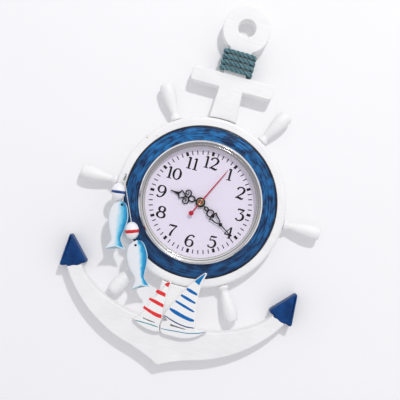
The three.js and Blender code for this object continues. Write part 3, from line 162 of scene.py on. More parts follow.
def unique_loop(points: np.ndarray, least: float = 1e-3) -> np.ndarray:
    """Drops points of a closed outline that lie on the next one."""
    return points[np.linalg.norm(points - np.roll(points, -1, axis=0), axis=1) > least]


def eased(corners: np.ndarray, radii: np.ndarray, steps: int = 5, closed: bool = True) -> np.ndarray:
    """Rounds the corners of a line: each is swapped for a quadratic curve that starts its radius before it.

    Args:
        corners: Points of the line.
        radii: How far before and after each corner its curve reaches, at most half of either side.
        steps: Points on each curve.
        closed: Whether the last point joins the first.

    Returns:
        Points of the rounded line.
    """
    corners = np.asarray(corners, float)
    radii = np.broadcast_to(np.asarray(radii, float), (len(corners),)).copy()
    if not closed:
        radii[[0, -1]] = 0
    back = np.roll(corners, 1, axis=0) - corners
    ahead = np.roll(corners, -1, axis=0) - corners
    reach = [np.linalg.norm(side, axis=1, keepdims=True) for side in (back, ahead)]
    cut = [np.minimum(radii[:, None], 0.49 * length) for length in reach]
    start = corners + back / reach[0] * cut[0]
    end = corners + ahead / reach[1] * cut[1]
    t = np.linspace(0, 1, steps)[None, :, None]
    curve = (1 - t) ** 2 * start[:, None] + 2 * t * (1 - t) * corners[:, None] + t**2 * end[:, None]
    line = curve.reshape(-1, corners.shape[1])
    keep = np.ones(len(line), bool)
    keep[1:] = np.linalg.norm(np.diff(line, axis=0), axis=1) > 1e-5
    return line[keep]


def side_normals(line: np.ndarray, closed: bool) -> np.ndarray:
    """Normals to the left of a line: unit vectors, longer at a corner, so that both sides move out alike.

    Args:
        line: Points of the line.
        closed: Whether the last point joins the first.

    Returns:
        One normal for each point.
    """
    if closed:
        before, after = line - np.roll(line, 1, axis=0), np.roll(line, -1, axis=0) - line
    else:
        step = np.diff(line, axis=0)
        before, after = np.vstack([step[:1], step]), np.vstack([step, step[-1:]])
    before /= np.linalg.norm(before, axis=1, keepdims=True)
    after /= np.linalg.norm(after, axis=1, keepdims=True)
    both = before + after
    both /= np.linalg.norm(both, axis=1, keepdims=True)
    lengthen = 1 / np.clip(np.sum(both * before, axis=1, keepdims=True), 0.5, 1)
    return np.stack([-both[:, 1], both[:, 0]], -1) * lengthen


# Meshes


def grid_faces(rows: int, columns: int, close_rows: bool, close_columns: bool) -> np.ndarray:
    """Quads of a grid of points, row by row.

    Args:
        rows: How many rows.
        columns: How many columns.
        close_rows: Whether the last row joins the first.
        close_columns: Whether the last column joins the first.

    Returns:
        Four corner numbers for each quad.
    """
    i = np.arange(rows if close_rows else rows - 1)[:, None]
    j = np.arange(columns if close_columns else columns - 1)[None, :]
    below, right = (i + 1) % rows, (j + 1) % columns
    corners = [i * columns + j, i * columns + right, below * columns + right, below * columns + j]
    return np.stack(np.broadcast_arrays(*corners), -1).reshape(-1, 4)


def grid_uv(rows: np.ndarray, columns: np.ndarray) -> np.ndarray:
    """UV of each face corner of such a grid.

    Args:
        rows: V of each row, with one more past a seam.
        columns: U of each column, in the same way.

    Returns:
        Two values for each corner.
    """
    i = np.arange(len(rows) - 1)[:, None]
    j = np.arange(len(columns) - 1)[None, :]
    u = np.stack(np.broadcast_arrays(columns[j], columns[j + 1], columns[j + 1], columns[j] + 0 * i), -1)
    v = np.stack(np.broadcast_arrays(rows[i], rows[i] + 0 * j, rows[i + 1], rows[i + 1]), -1)
    return np.stack([u, v], -1).reshape(-1, 2)


def smooth(mesh: Mesh) -> None:
    """Shades a mesh smooth, with its real corners kept sharp."""
    mesh.shade_smooth()
    mesh.set_sharp_from_angle(angle=np.radians(SHARP_ANGLE))


def shown(name: str, data: ID) -> Object:
    """Puts a new object with this data into the scene.

    Args:
        name: Name of the object.
        data: Its mesh, camera or light.

    Returns:
        The object.
    """
    piece = bpy.data.objects.new(name, data)
    bpy.context.scene.collection.objects.link(piece)
    return piece


def mesh_object(name: str, points: np.ndarray, faces: list, uv: np.ndarray | None = None) -> Object:
    """Makes an object from points in metres, with merged seams and normals that point out.

    Args:
        name: Name of the piece.
        points: Points, with a last axis of three.
        faces: Corner numbers of each face.
        uv: UV of each face corner, where the finish follows the surface.

    Returns:
        The object, at the origin.
    """
    mesh = bpy.data.meshes.new(name)
    mesh.from_pydata(points.reshape(-1, 3).tolist(), [], faces)
    if uv is not None:
        layer = mesh.uv_layers.new(name="surface")
        layer.data.foreach_set("uv", np.asarray(uv, np.float32).ravel())
    work = bmesh.new()
    work.from_mesh(mesh)
    bmesh.ops.remove_doubles(work, verts=work.verts, dist=SEAM)
    bmesh.ops.recalc_face_normals(work, faces=work.faces)
    work.to_mesh(mesh)
    work.free()
    smooth(mesh)
    return shown(name, mesh)


def surface(
    name: str,
    points: np.ndarray,
    close_rows: bool = False,
    close_columns: bool = True,
    ends: Cap = Cap.OPEN,
    rows: np.ndarray | None = None,
    columns: np.ndarray | None = None,
) -> Object:
    """Makes an object from a grid of points, each row a section and each column a line along.

    Args:
        name: Name of the piece.
        points: Grid of points in metres, rows by columns by three.
        close_rows: Whether the last row joins the first.
        close_columns: Whether the last column joins the first.
        ends: How the first and last rows are closed.
        rows: V of each row, in millimetres, with one more past a seam.
        columns: U of each column, in the same way.

    Returns:
        The object.
    """
    row_count, column_count = points.shape[:2]
    faces = grid_faces(row_count, column_count, close_rows, close_columns).tolist()
    uv = None if rows is None else grid_uv(rows, columns)
    if ends is Cap.FLAT:
        numbers = np.arange(row_count * column_count).reshape(row_count, column_count)
        faces += numbers[[0, -1]].tolist()
        if uv is not None:
            uv = np.vstack([uv, np.zeros((2 * column_count, 2))])
    return mesh_object(name, points, faces, uv)


def lathe(
    name: str,
    profile: np.ndarray,
    origin: tuple = DIAL_CENTRE,
    axis: tuple = OUTWARD,
    segments: int = 128,
    closed: bool = False,
) -> Object:
    """Turns a profile about an axis: point = origin + along * axis + radius * (cos a, sin a) across it.

    Args:
        name: Name of the piece.
        profile: Radius and distance along the axis of each point, in millimetres.
        origin: Where the axis starts, in metres.
        axis: Direction of the axis.
        segments: Steps round the axis.
        closed: Whether the profile joins its own start, as on a ring.

    Returns:
        The object, with U round the axis and V along the profile, in millimetres.
    """
    profile = np.asarray(profile, float)
    along = np.array(axis, float) / np.linalg.norm(axis)
    helper = np.array([0.0, 0.0, 1.0]) if abs(along[2]) < 0.9 else np.array([1.0, 0.0, 0.0])
    first = np.cross(helper, along)
    first /= np.linalg.norm(first)
    second = np.cross(along, first)
    angle = np.linspace(0, FULL_TURN, segments, endpoint=False)
    spoke = np.cos(angle)[:, None] * first + np.sin(angle)[:, None] * second
    radius, reach = profile[:, 0], profile[:, 1]
    points = radius[:, None, None] * spoke[None] + reach[:, None, None] * along
    line = np.vstack([profile, profile[:1]]) if closed else profile
    around = np.linspace(0, FULL_TURN * radius.max(), segments + 1)
    return surface(name, np.array(origin) + points * MM, closed, True, Cap.OPEN, running(line), around)


def settled(rings: np.ndarray, outline: np.ndarray, passes: int = 40) -> np.ndarray:
    """Draws together the points of inset rings that have passed each other at a tight corner.

    An edge that runs against its own edge of the outline shrinks to its middle, until none is left.

    Args:
        rings: Rings of points, each carried in from the outline.
        outline: Points of the outline.
        passes: How often the edges are looked at, at most.

    Returns:
        The rings without crossings.
    """
    ahead = np.roll(outline, -1, axis=0) - outline
    for _ in range(passes):
        following = np.roll(rings, -1, axis=1)
        crossed = np.sum((following - rings) * ahead, axis=-1, keepdims=True) < 0
        if not crossed.any():
            break
        middle = (rings + following) / 2
        rings = np.where(crossed, middle, rings)
        rings = np.where(np.roll(crossed, 1, axis=1), np.roll(middle, 1, axis=1), rings)
    return rings


def cut_out(
    name: str, outlines: list, low: float, high: float, edge: float, hole_edge: float = 0.0, steps: int = 5
) -> Object:
    """Cuts a board from a front-view outline, with quarter-round edges at the front and eased ones behind.

    The section is carried along each outline: a point moves in by e(1 - sin a) and up by e(1 - cos a)
    through the quarter turn, and one more ring just inside keeps the flat face flat.

    Args:
        name: Name of the piece.
        outlines: Closed outlines, the outer one first and then the holes.
        low: Height of the back.
        high: Height of the front.
        edge: Radius of the front edge.
        hole_edge: Radius of the front edge of the holes, where it isn't the same.
        steps: Rings on the quarter round.

    Returns:
        The object.
    """
    turn = np.linspace(0, np.pi / 2, steps)
    behind, inside = 0.4, 1.2
    points, faces, first, last = [], [], [], []
    start = 0
    for number, outline in enumerate(outlines):
        round_by = hole_edge if number and hole_edge else edge
        back = behind * round_by
        inset = [round_by, back, 0.0, *(round_by * (1 - np.cos(turn))), inside * round_by]
        height = [low, low, low + back, *(high - round_by + round_by * np.sin(turn)), high]
        section = np.stack([inset, height], -1)
        line = unique_loop(np.asarray(outline, float))
        spin = np.sum(line[:, 0] * np.roll(line[:, 1], -1) - line[:, 1] * np.roll(line[:, 0], -1))
        if (spin > 0) == (number > 0):
            line = line[::-1]
        inward = side_normals(line, True)
        flat = settled(line[None] + inward[None] * section[:, 0, None, None], line)
        points.append(place(flat[..., 0], flat[..., 1], section[:, 1, None]).reshape(-1, 3))
        faces += (grid_faces(len(section), len(line), False, True) + start).tolist()
        first.append((start, flat[0]))
        last.append((start + (len(section) - 1) * len(line), flat[-1]))
        start += len(section) * len(line)
    for ring in (first, last):
        numbers = np.concatenate([np.arange(len(flat)) + begin for begin, flat in ring])
        loops = [[Vector((x, z, 0)) for x, z in flat] for _, flat in ring]
        faces += numbers[np.array(tessellate_polygon(loops))].tolist()
    return mesh_object(name, np.vstack(points), faces)


def frames_along(path: np.ndarray, outward: tuple | np.ndarray) -> tuple[np.ndarray, np.ndarray]:
    """Two unit vectors square to a path at each point.

    Args:
        path: Points of the path.
        outward: Direction, for each point or for all, that the first vector keeps nearest to.

    Returns:
        That vector, and the one across it.
    """
    tangent = np.gradient(path, axis=0)
    tangent /= np.linalg.norm(tangent, axis=1, keepdims=True)
    normal = outward - np.sum(outward * tangent, axis=1, keepdims=True) * tangent
    normal /= np.linalg.norm(normal, axis=1, keepdims=True)
    return normal, np.cross(tangent, normal)


def swept(
    name: str, path: np.ndarray, outward: tuple | np.ndarray, angle: np.ndarray, reach: np.ndarray,
    radius: float,
) -> Object:
    """Sweeps a section along a path: point = path + reach * (cos a normal + sin a across), with flat ends.

    Args:
        name: Name of the piece.
        path: Points of the centreline, in metres.
        outward: Direction that the section is hung from, for each point or for all.
        angle: Angle of each point of the section, for each point of the path.
        reach: Distance from the centreline, in the same way.
        radius: Radius whose round gives the width of the UV.

    Returns:
        The object, with U round the section and V along, in millimetres.
    """
    normal, across = frames_along(path, outward)
    ring = np.cos(angle)[..., None] * normal[:, None] + np.sin(angle)[..., None] * across[:, None]
    points = path[:, None] + reach[..., None] * ring
    around = np.linspace(0, FULL_TURN * radius / MM, angle.shape[1] + 1)
    return surface(name, points, False, True, Cap.FLAT, running(path) / MM, around)


def twisted(
    name: str, path: np.ndarray, outward: tuple | np.ndarray, radius: float, strands: int, lay: float,
    columns: int = 36,
) -> Object:
    """Sweeps laid strands along a path as one skin.

    Around the section the skin is the outline of touching circles: r = d cos t + sqrt(a^2 - d^2 sin^2 t),
    where t is the angle from the nearest strand, and the strands turn once in each lay.

    Args:
        name: Name of the piece.
        path: Points of the centreline, in metres.
        outward: Direction that the section is hung from, for each point or for all.
        radius: Radius of the whole, in metres.
        strands: How many strands are laid together.
        lay: Length in which a strand goes round once, in metres.
        columns: Points round the section.

    Returns:
        The object, with U round the strands and V along, in millimetres.
    """
    share = FULL_TURN / strands
    angle = np.linspace(0, FULL_TURN, columns, endpoint=False)
    near = (angle + share / 2) % share - share / 2
    offset = radius * np.sin(share / 2) / (1 + np.sin(share / 2))
    strand = radius - offset
    reach = offset * np.cos(near) + np.sqrt(strand**2 - (offset * np.sin(near)) ** 2)
    turned = angle[None] + FULL_TURN * running(path)[:, None] / lay
    return swept(name, path, outward, turned, reach[None], radius)


def stroke(
    line: np.ndarray, half: np.ndarray, low: float, high: float, closed: bool = False, crown: float = 0.3
) -> tuple[np.ndarray, np.ndarray, list]:
    """Sweeps a flat section with eased upper edges along a front-view line.

    Args:
        line: Points of the line, in millimetres.
        half: Half width at each point.
        low: Height of its back.
        high: Height of its middle.
        closed: Whether the line is a loop.
        crown: Share of the thickness by which the edges lie lower than the middle.

    Returns:
        Points in metres, quads, and the two end faces as lists.
    """
    line = np.asarray(line, float)
    half = np.broadcast_to(np.asarray(half, float), (len(line),))
    across = np.array([-1.0, -1.0, -0.8, 0.0, 0.8, 1.0, 1.0])
    drop = crown * (high - low)
    rise = np.array([low, high - drop, high - 0.4 * drop, high, high - 0.4 * drop, high - drop, low])
    flat = line[:, None] + side_normals(line, closed)[:, None] * (half[:, None] * across)[..., None]
    points = place(flat[..., 0], flat[..., 1], rise[None])
    quads = grid_faces(len(line), len(across), closed, True)
    numbers = np.arange(flat[..., 0].size).reshape(len(line), len(across))
    ends = [] if closed else numbers[[0, -1]].tolist()
    return points.reshape(-1, 3), quads, ends


def join_strokes(name: str, parts: list) -> Object:
    """Puts several strokes into one object.

    Args:
        name: Name of the piece.
        parts: Points, quads and ends of each stroke.

    Returns:
        The object.
    """
    points, faces, start = [], [], 0
    for corners, quads, ends in parts:
        points.append(corners)
        faces += (quads + start).tolist()
        faces += [[start + number for number in end] for end in ends]
        start += len(corners)
    return mesh_object(name, np.vstack(points), faces)


def carve(piece: Object, cutters: list) -> None:
    """Cuts other objects out of a piece and removes them.

    Args:
        piece: The piece that is cut.
        cutters: The objects that are cut out of it.
    """
    for cutter in cutters:
        boolean = piece.modifiers.new("carve", "BOOLEAN")
        boolean.operation = "DIFFERENCE"
        boolean.solver = "EXACT"
        boolean.object = cutter
    shape = bpy.data.meshes.new_from_object(piece.evaluated_get(bpy.context.evaluated_depsgraph_get()))
    piece.modifiers.clear()
    piece.data = shape
    smooth(shape)
    for cutter in cutters:
        bpy.data.objects.remove(cutter)


def pocket(name: str, half: tuple, middle: float, depth: float) -> Object:
    """Makes a cutter for a recess in a board's back, centred from side to side.

    Args:
        name: Name of the cutter.
        half: Half its width and half its height.
        middle: Height of its middle above the dial's centre.
        depth: How deep it goes in from the back.

    Returns:
        The cutter, a box that starts behind the board.
    """
    section = np.array([[-1, -1], [1, -1], [1, 1], [-1, 1]]) * half + (0, middle)
    points = place(section[None, :, 0], section[None, :, 1], np.array([-1, depth])[:, None])
    return surface(name, points, ends=Cap.FLAT)


# Finishes


def linear(colour: str) -> tuple[float, float, float, float]:
    """Linear colour, with full alpha, from an sRGB hex value."""
    parts = [int(colour.lstrip("#")[k : k + 2], 16) / 255 for k in (0, 2, 4)]
    return (*(c / 12.92 if c <= 0.04045 else ((c + 0.055) / 1.055) ** 2.4 for c in parts), 1.0)


def per(millimetres: float) -> float:
    """Scale of a pattern on Object coordinates whose features are this size."""
    return 1 / (millimetres * MM)


def feed(node: Node, inputs: dict) -> None:
    """Fills a node's inputs.

    Args:
        node: Node that is fed.
        inputs: Constant or other node's socket for each input, by its name or number.
    """
    for key, value in inputs.items():
        if isinstance(value, NodeSocket):
            node.id_data.links.new(value, node.inputs[key])
        else:
            node.inputs[key].default_value = value


def add(
    tree: NodeTree, kind: str, inputs: dict | None = None, output: str = "", **settings: object
) -> NodeSocket:
    """Adds a node, sets its properties and fills its inputs.

    Args:
        tree: Tree that the node goes into.
        kind: Kind of node, without the word that all kinds begin with.
        inputs: Constant or other node's socket for each input, by its name or number.
        output: Name of the output that is wanted, where it isn't the first in use.
        settings: Properties of the node.

    Returns:
        That output.
    """
    node = tree.nodes.new(f"ShaderNode{kind}")
    for key, value in settings.items():
        setattr(node, key, value)
    feed(node, inputs or {})
    return node.outputs[output] if output else next(socket for socket in node.outputs if socket.enabled)


@dataclass(frozen=True)
class Finish:
    """A surface that can be put on pieces: the material's name and the record's slot that it belongs to."""

    name: str
    slot: str

    def paint(self, tree: NodeTree, shader: Node) -> None:
        """Adds the nodes of this surface to a material's tree, and feeds them to its shader."""
        raise NotImplementedError

    def material(self) -> Material:
        """Makes the material on the first call, and finds it on the others.

        Returns:
            The material.
        """
        made = bpy.data.materials.get(self.name)
        if made is None:
            made = bpy.data.materials.new(self.name)
            made.use_nodes = True
            self.paint(made.node_tree, made.node_tree.nodes["Principled BSDF"])
        return made


@dataclass(frozen=True)
class BrushedPaint(Finish):
    """Water-based paint brushed on sanded board: uneven cover, fine brush lines and a soft gloss."""

    light: str = "#f6f6f5"
    dark: str = "#ecebec"
    roughness: float = 0.48
    patch: float = 22.0
    brush: float = 0.7
    relief: float = 0.05
    specular: float = 0.5
    turn: tuple = (0.0, 0.0, 0.0)
    rubs: tuple = ()
    rub_colour: str = "#c9b79c"

    def paint(self, tree: NodeTree, shader: Node) -> None:
        """Mixes two tones by patches and by brush lines, and rubs the paint off where it is handled.

        Args:
            tree: The material's nodes.
            shader: Its shader.
        """
        where = add(tree, "TexCoord", output="Object")
        patches = add(tree, "TexNoise", {"Vector": where, "Scale": per(self.patch), "Detail": 5.0})
        lay = add(tree, "Mapping", {"Vector": where, "Rotation": self.turn, "Scale": (0.06, 1.0, 1.0)})
        lines = add(tree, "TexNoise", {"Vector": lay, "Scale": per(self.brush), "Detail": 3.0})
        both = add(tree, "Math", {0: patches, 1: lines}, operation="ADD")
        share = add(tree, "MapRange", {0: both, 1: 0.7, 2: 1.3})
        colour = add(tree, "Mix", {0: share, 6: linear(self.dark), 7: linear(self.light)}, data_type="RGBA")
        for centre, reach in self.rubs:
            middle = place(*centre).tolist()
            away = add(tree, "VectorMath", {0: where, 1: middle}, operation="DISTANCE")
            near = add(tree, "MapRange", {0: away, 1: reach * MM, 2: 0.2 * reach * MM})
            specks = add(tree, "TexNoise", {"Vector": lay, "Scale": per(1.6), "Detail": 6.0})
            worn = add(tree, "Math", {0: near, 1: specks}, operation="MULTIPLY")
            bare = add(tree, "MapRange", {0: worn, 1: 0.46, 2: 0.56})
            colour = add(tree, "Mix", {0: bare, 6: colour, 7: linear(self.rub_colour)}, data_type="RGBA")
        dull, shiny = self.roughness + 0.08, self.roughness - 0.07
        gloss = add(tree, "MapRange", {0: patches, 1: 0.3, 2: 0.7, 3: shiny, 4: dull})
        swell = add(tree, "TexNoise", {"Vector": where, "Scale": per(9.0), "Detail": 2.0})
        low = add(tree, "Bump", {"Height": swell, "Distance": 0.4 * MM, "Strength": 0.35})
        fine = {"Height": lines, "Distance": self.relief * MM, "Strength": 1.0, "Normal": low}
        feed(shader, {"Base Color": colour, "Roughness": gloss, "Normal": add(tree, "Bump", fine)})
        feed(shader, {"Specular IOR Level": self.specular})


@dataclass(frozen=True)
class TurnedGloss(Finish):
    """Blue enamel drawn round a ring with a stiff brush: long streaks about the axis, under a wet gloss."""

    deep: str = "#04264f"
    bright: str = "#0f76bb"
    groove: str = "#020f24"
    scratch: str = "#7fb4dc"
    outer: float = 67.5
    layers: tuple = ((15.0, 0.85), (33.0, 0.45), (9.0, 5.0))

    def paint(self, tree: NodeTree, shader: Node) -> None:
        """Lays noise that is long about the dial's axis and narrow across, from the point's own direction,
        and darkens the lower part of the ring as painted shade.

        Args:
            tree: The material's nodes.
            shader: Its shader.
        """
        where = add(tree, "TexCoord", output="Object")
        offset = (0, 0, -DIAL_Z * MM)
        centred = add(tree, "Mapping", {"Vector": where, "Location": offset, "Scale": (1, 0, 1)})
        radius = add(tree, "VectorMath", {0: centred}, operation="LENGTH")
        spoke = add(tree, "VectorMath", {0: centred}, operation="NORMALIZE")
        noises = []
        for length, width in self.layers:
            about = add(tree, "VectorMath", {0: spoke, "Scale": self.outer / length}, operation="SCALE")
            across = add(tree, "Math", {0: radius, 1: 1 / (width * MM)}, operation="MULTIPLY")
            step = add(tree, "CombineXYZ", {"Y": across})
            spot = add(tree, "VectorMath", {0: about, 1: step}, operation="ADD")
            noises.append(add(tree, "TexNoise", {"Vector": spot, "Scale": 1.0, "Detail": 4.0}))
        streaks, scores, clouds = noises
        both = add(tree, "Math", {0: streaks, 1: clouds}, operation="ADD")
        share = add(tree, "MapRange", {0: both, 1: 0.84, 2: 1.22})
        # Painted shade and light: the blue darkens towards the bottom of the ring and brightens towards the
        # top, as if lit from above.
        rise = add(tree, "SeparateXYZ", {0: spoke}, "Z")
        lift = add(tree, "MapRange", {0: rise, 1: -0.9, 2: 0.9, 3: 0.45, 4: 1.15})
        share = add(tree, "Math", {0: share, 1: lift}, operation="MULTIPLY", use_clamp=True)
        colour = add(tree, "Mix", {0: share, 6: linear(self.deep), 7: linear(self.bright)}, data_type="RGBA")
        dark = add(tree, "MapRange", {0: scores, 1: 0.36, 2: 0.28, 3: 0.0, 4: 0.75})
        thin = add(tree, "MapRange", {0: scores, 1: 0.66, 2: 0.74, 3: 0.0, 4: 0.5})
        rim = add(tree, "MapRange", {0: radius, 1: (self.outer - 1.6) * MM, 2: (self.outer - 0.4) * MM})
        for over, tone in ((dark, self.groove), (thin, self.scratch), (rim, self.groove)):
            colour = add(tree, "Mix", {0: over, 6: colour, 7: linear(tone)}, data_type="RGBA")
        gloss = add(tree, "MapRange", {0: streaks, 1: 0.3, 2: 0.7, 3: 0.22, 4: 0.42})
        bump = add(tree, "Bump", {"Height": streaks, "Distance": 0.12 * MM, "Strength": 1.0})
        feed(shader, {"Base Color": colour, "Roughness": gloss, "Normal": bump})
        feed(shader, {"Coat Weight": 0.25, "Coat Roughness": 0.1})


@dataclass(frozen=True)
class LaidCord(Finish):
    """Spun and laid fibre, dull and hairy: fine yarns cross each strand, and painted shade darkens the
    grooves between strands.
    """

    light: str = "#7fb0b8"
    dark: str = "#2a596a"
    # Painted shade colour for the creases between the strands.
    groove: str = "#0d2a33"
    radius: float = 2.25
    strands: int = 3
    yarn: float = 0.42
    relief: float = 0.12
    yarn_angle: float = 28.0

    def paint(self, tree: NodeTree, shader: Node) -> None:
        """Draws the yarns as bands across the strands' own UV, and paints shade into what lies between the
        strands.

        Args:
            tree: The material's nodes.
            shader: Its shader.
        """
        where = add(tree, "UVMap", uv_map="surface")
        turned = add(tree, "Mapping", {"Vector": where, "Rotation": (0, 0, np.radians(self.yarn_angle))})
        band = {"Vector": turned, "Scale": 0.31 / self.yarn, "Distortion": 1.6, "Detail Scale": 1.5}
        yarns = add(tree, "TexWave", {**band, "Detail": 2.0}, "Fac", bands_direction="X")
        cloud = add(tree, "TexNoise", {"Vector": where, "Scale": 0.22, "Detail": 4.0})
        hairs = add(tree, "TexNoise", {"Vector": where, "Scale": 5.0, "Detail": 5.0})
        fleck = add(tree, "Math", {0: yarns, 1: hairs}, operation="MULTIPLY")
        tone = add(tree, "Math", {0: fleck, 1: cloud}, operation="ADD")
        share = add(tree, "MapRange", {0: tone, 1: 0.4, 2: 1.05})
        colour = add(tree, "Mix", {0: share, 6: linear(self.dark), 7: linear(self.light)}, data_type="RGBA")
        # Painted shade: the colour darkens to the groove tone between the strands, where they shade each
        # other.
        around = add(tree, "SeparateXYZ", {0: where}, "X")
        half = np.pi * self.radius / self.strands
        apart = add(tree, "Math", {0: around, 1: half}, operation="PINGPONG")
        deep = add(tree, "MapRange", {0: apart, 1: 0.62 * half, 2: 0.98 * half})
        colour = add(tree, "Mix", {0: deep, 6: colour, 7: linear(self.groove)}, data_type="RGBA")
        height = add(tree, "Math", {0: yarns, 1: hairs}, operation="ADD")
        bump = add(tree, "Bump", {"Height": height, "Distance": self.relief * MM, "Strength": 1.0})
        feed(shader, {"Base Color": colour, "Normal": bump, "Roughness": 0.92})
        feed(shader, {"Sheen Weight": 0.25, "Sheen Roughness": 0.5})


@dataclass(frozen=True)
class BareMetal(Finish):
    """Sheet or turned metal: a clear reflection broken by fine tool lines and finger smudges."""

    colour: str
    roughness: float
    line: float = 0.3
    relief: float = 0.004
    smudged: float = 0.82

    def paint(self, tree: NodeTree, shader: Node) -> None:
        """Varies the gloss by smudges, and scores fine lines.

        Args:
            tree: The material's nodes.
            shader: Its shader.
        """
        where = add(tree, "TexCoord", output="Object")
        smudge = add(tree, "TexNoise", {"Vector": where, "Scale": per(6.0), "Detail": 5.0})
        lay = add(tree, "Mapping", {"Vector": where, "Scale": (1.0, 1.0, 0.08)})
        lines = add(tree, "TexNoise", {"Vector": lay, "Scale": per(self.line), "Detail": 2.0})
        shiny, dull = 0.75 * self.roughness, 1.35 * self.roughness
        gloss = add(tree, "MapRange", {0: smudge, 1: 0.3, 2: 0.75, 3: shiny, 4: dull})
        bright = linear(self.colour)
        shade = (*(self.smudged * part for part in bright[:3]), 1.0)
        colour = add(tree, "Mix", {0: smudge, 6: bright, 7: shade}, data_type="RGBA")
        bump = add(tree, "Bump", {"Height": lines, "Distance": self.relief * MM, "Strength": 1.0})
        feed(shader, {"Base Color": colour, "Roughness": gloss, "Normal": bump, "Metallic": 1.0})


@dataclass(frozen=True)
class Moulded(Finish):
    """Plastic, rubber or lacquer: one colour with a slight grain from the mould or the spray."""

    colour: str
    mottle: str
    roughness: float = 0.45
    grain: float = 0.35
    relief: float = 0.015
    coat: float = 0.0
    patch: float = 7.0
    specular: float = 0.5

    def paint(self, tree: NodeTree, shader: Node) -> None:
        """Mixes two near tones and raises a fine grain.

        Args:
            tree: The material's nodes.
            shader: Its shader.
        """
        where = add(tree, "TexCoord", output="Object")
        cloud = add(tree, "TexNoise", {"Vector": where, "Scale": per(self.patch), "Detail": 4.0})
        grain = add(tree, "TexNoise", {"Vector": where, "Scale": per(self.grain), "Detail": 2.0})
        tones = {6: linear(self.colour), 7: linear(self.mottle)}
        colour = add(tree, "Mix", {0: cloud, **tones}, data_type="RGBA")
        shiny, dull = self.roughness - 0.05, self.roughness + 0.05
        gloss = add(tree, "MapRange", {0: cloud, 1: 0.3, 2: 0.7, 3: shiny, 4: dull})
        bump = add(tree, "Bump", {"Height": grain, "Distance": self.relief * MM, "Strength": 1.0})
        feed(shader, {"Base Color": colour, "Roughness": gloss, "Normal": bump})
        feed(shader, {"Specular IOR Level": self.specular, "Coat Weight": self.coat, "Coat Roughness": 0.08})


@dataclass(frozen=True)
class StripePaint(Moulded):
    """Acrylic laid on in a stroke of a small brush, mottled and without gloss."""

    roughness: float = 0.4
    relief: float = 0.05
    patch: float = 2.5
    specular: float = 0.2


@dataclass(frozen=True)
class ClearSheet(Finish):
    """Flat polished acrylic: all but clear, with a thin mirror on its face."""

    colour: str = "#3a4046"
    cover: float = 0.03
    bending: float = 1.49

    def paint(self, tree: NodeTree, shader: Node) -> None:
        """Lets nearly everything through, with a trace of dust in the gloss.

        Args:
            tree: The material's nodes.
            shader: Its shader.
        """
        where = add(tree, "TexCoord", output="Object")
        dust = add(tree, "TexNoise", {"Vector": where, "Scale": per(2.0), "Detail": 6.0})
        gloss = add(tree, "MapRange", {0: dust, 1: 0.55, 2: 0.8, 3: 0.02, 4: 0.12})
        feed(shader, {"Base Color": linear(self.colour), "Roughness": gloss})
        feed(shader, {"Alpha": self.cover, "IOR": self.bending})


@dataclass(frozen=True)
class SawnBeech(Finish):
    """Bare beech rod: straight brown grain with short dark flecks."""

    light: str = "#e2c79a"
    dark: str = "#a87f4f"

    def paint(self, tree: NodeTree, shader: Node) -> None:
        """Stretches noise along the grain.

        Args:
            tree: The material's nodes.
            shader: Its shader.
        """
        where = add(tree, "TexCoord", output="Object")
        lay = add(tree, "Mapping", {"Vector": where, "Scale": (1.0, 1.0, 0.06)})
        grain = add(tree, "TexNoise", {"Vector": lay, "Scale": per(0.8), "Detail": 5.0})
        colour = add(tree, "Mix", {0: grain, 6: linear(self.light), 7: linear(self.dark)}, data_type="RGBA")
        bump = add(tree, "Bump", {"Height": grain, "Distance": 0.05 * MM, "Strength": 1.0})
        feed(shader, {"Base Color": colour, "Normal": bump, "Roughness": 0.7})


@dataclass(frozen=True)
class FishPaint(Finish):
    """Hand-painted fish: a white belly that fades to sky blue on the back, with a white line at the edge."""

    belly: str = "#e8ebf0"
    flank: str = "#93d5ec"
    back: str = "#12a2d4"
    ridge: str = "#0a7bb0"
    outline: str = "#cfeaf4"
    bands: tuple = (0.38, 0.62, 0.80, 0.93)
    edges: tuple = (("X", 0.95, 0.98), ("X", 0.035, 0.015), ("Y", 0.955, 0.975))

    def paint(self, tree: NodeTree, shader: Node) -> None:
        """Reads U from belly, 0, to back, 1, and V from nose, 0, to tail, 1.

        Args:
            tree: The material's nodes.
            shader: Its shader.
        """
        where = add(tree, "UVMap", uv_map="surface")
        spot = add(tree, "TexCoord", output="Object")
        parts = add(tree, "SeparateXYZ", {0: where}).node.outputs
        wobble = add(tree, "TexNoise", {"Vector": spot, "Scale": per(3.0), "Detail": 4.0})
        shift = add(tree, "MapRange", {0: wobble, 3: -0.09, 4: 0.09})
        side = add(tree, "Math", {0: parts["X"], 1: shift}, operation="ADD")
        nose = add(tree, "MapRange", {0: parts["Y"], 1: 0.12, 2: 0.0, 3: 0.0, 4: 0.2})
        side = add(tree, "Math", {0: side, 1: nose}, operation="ADD")
        colour = add(tree, "ValToRGB", {0: side})
        ramp = colour.node.color_ramp.elements
        ramp[0].color, ramp[1].color = linear(self.belly), linear(self.ridge)
        for position, tone in zip(self.bands, (self.belly, self.flank, self.back, self.ridge)):
            ramp.new(position).color = linear(tone)
        for axis, start, end in self.edges:
            near = add(tree, "MapRange", {0: parts[axis], 1: start, 2: end})
            colour = add(tree, "Mix", {0: near, 6: colour, 7: linear(self.outline)}, data_type="RGBA")
        bump = add(tree, "Bump", {"Height": wobble, "Distance": 0.15 * MM, "Strength": 1.0})
        feed(shader, {"Base Color": colour, "Normal": bump, "Roughness": 0.38})
        feed(shader, {"Coat Weight": 0.3, "Coat Roughness": 0.15})


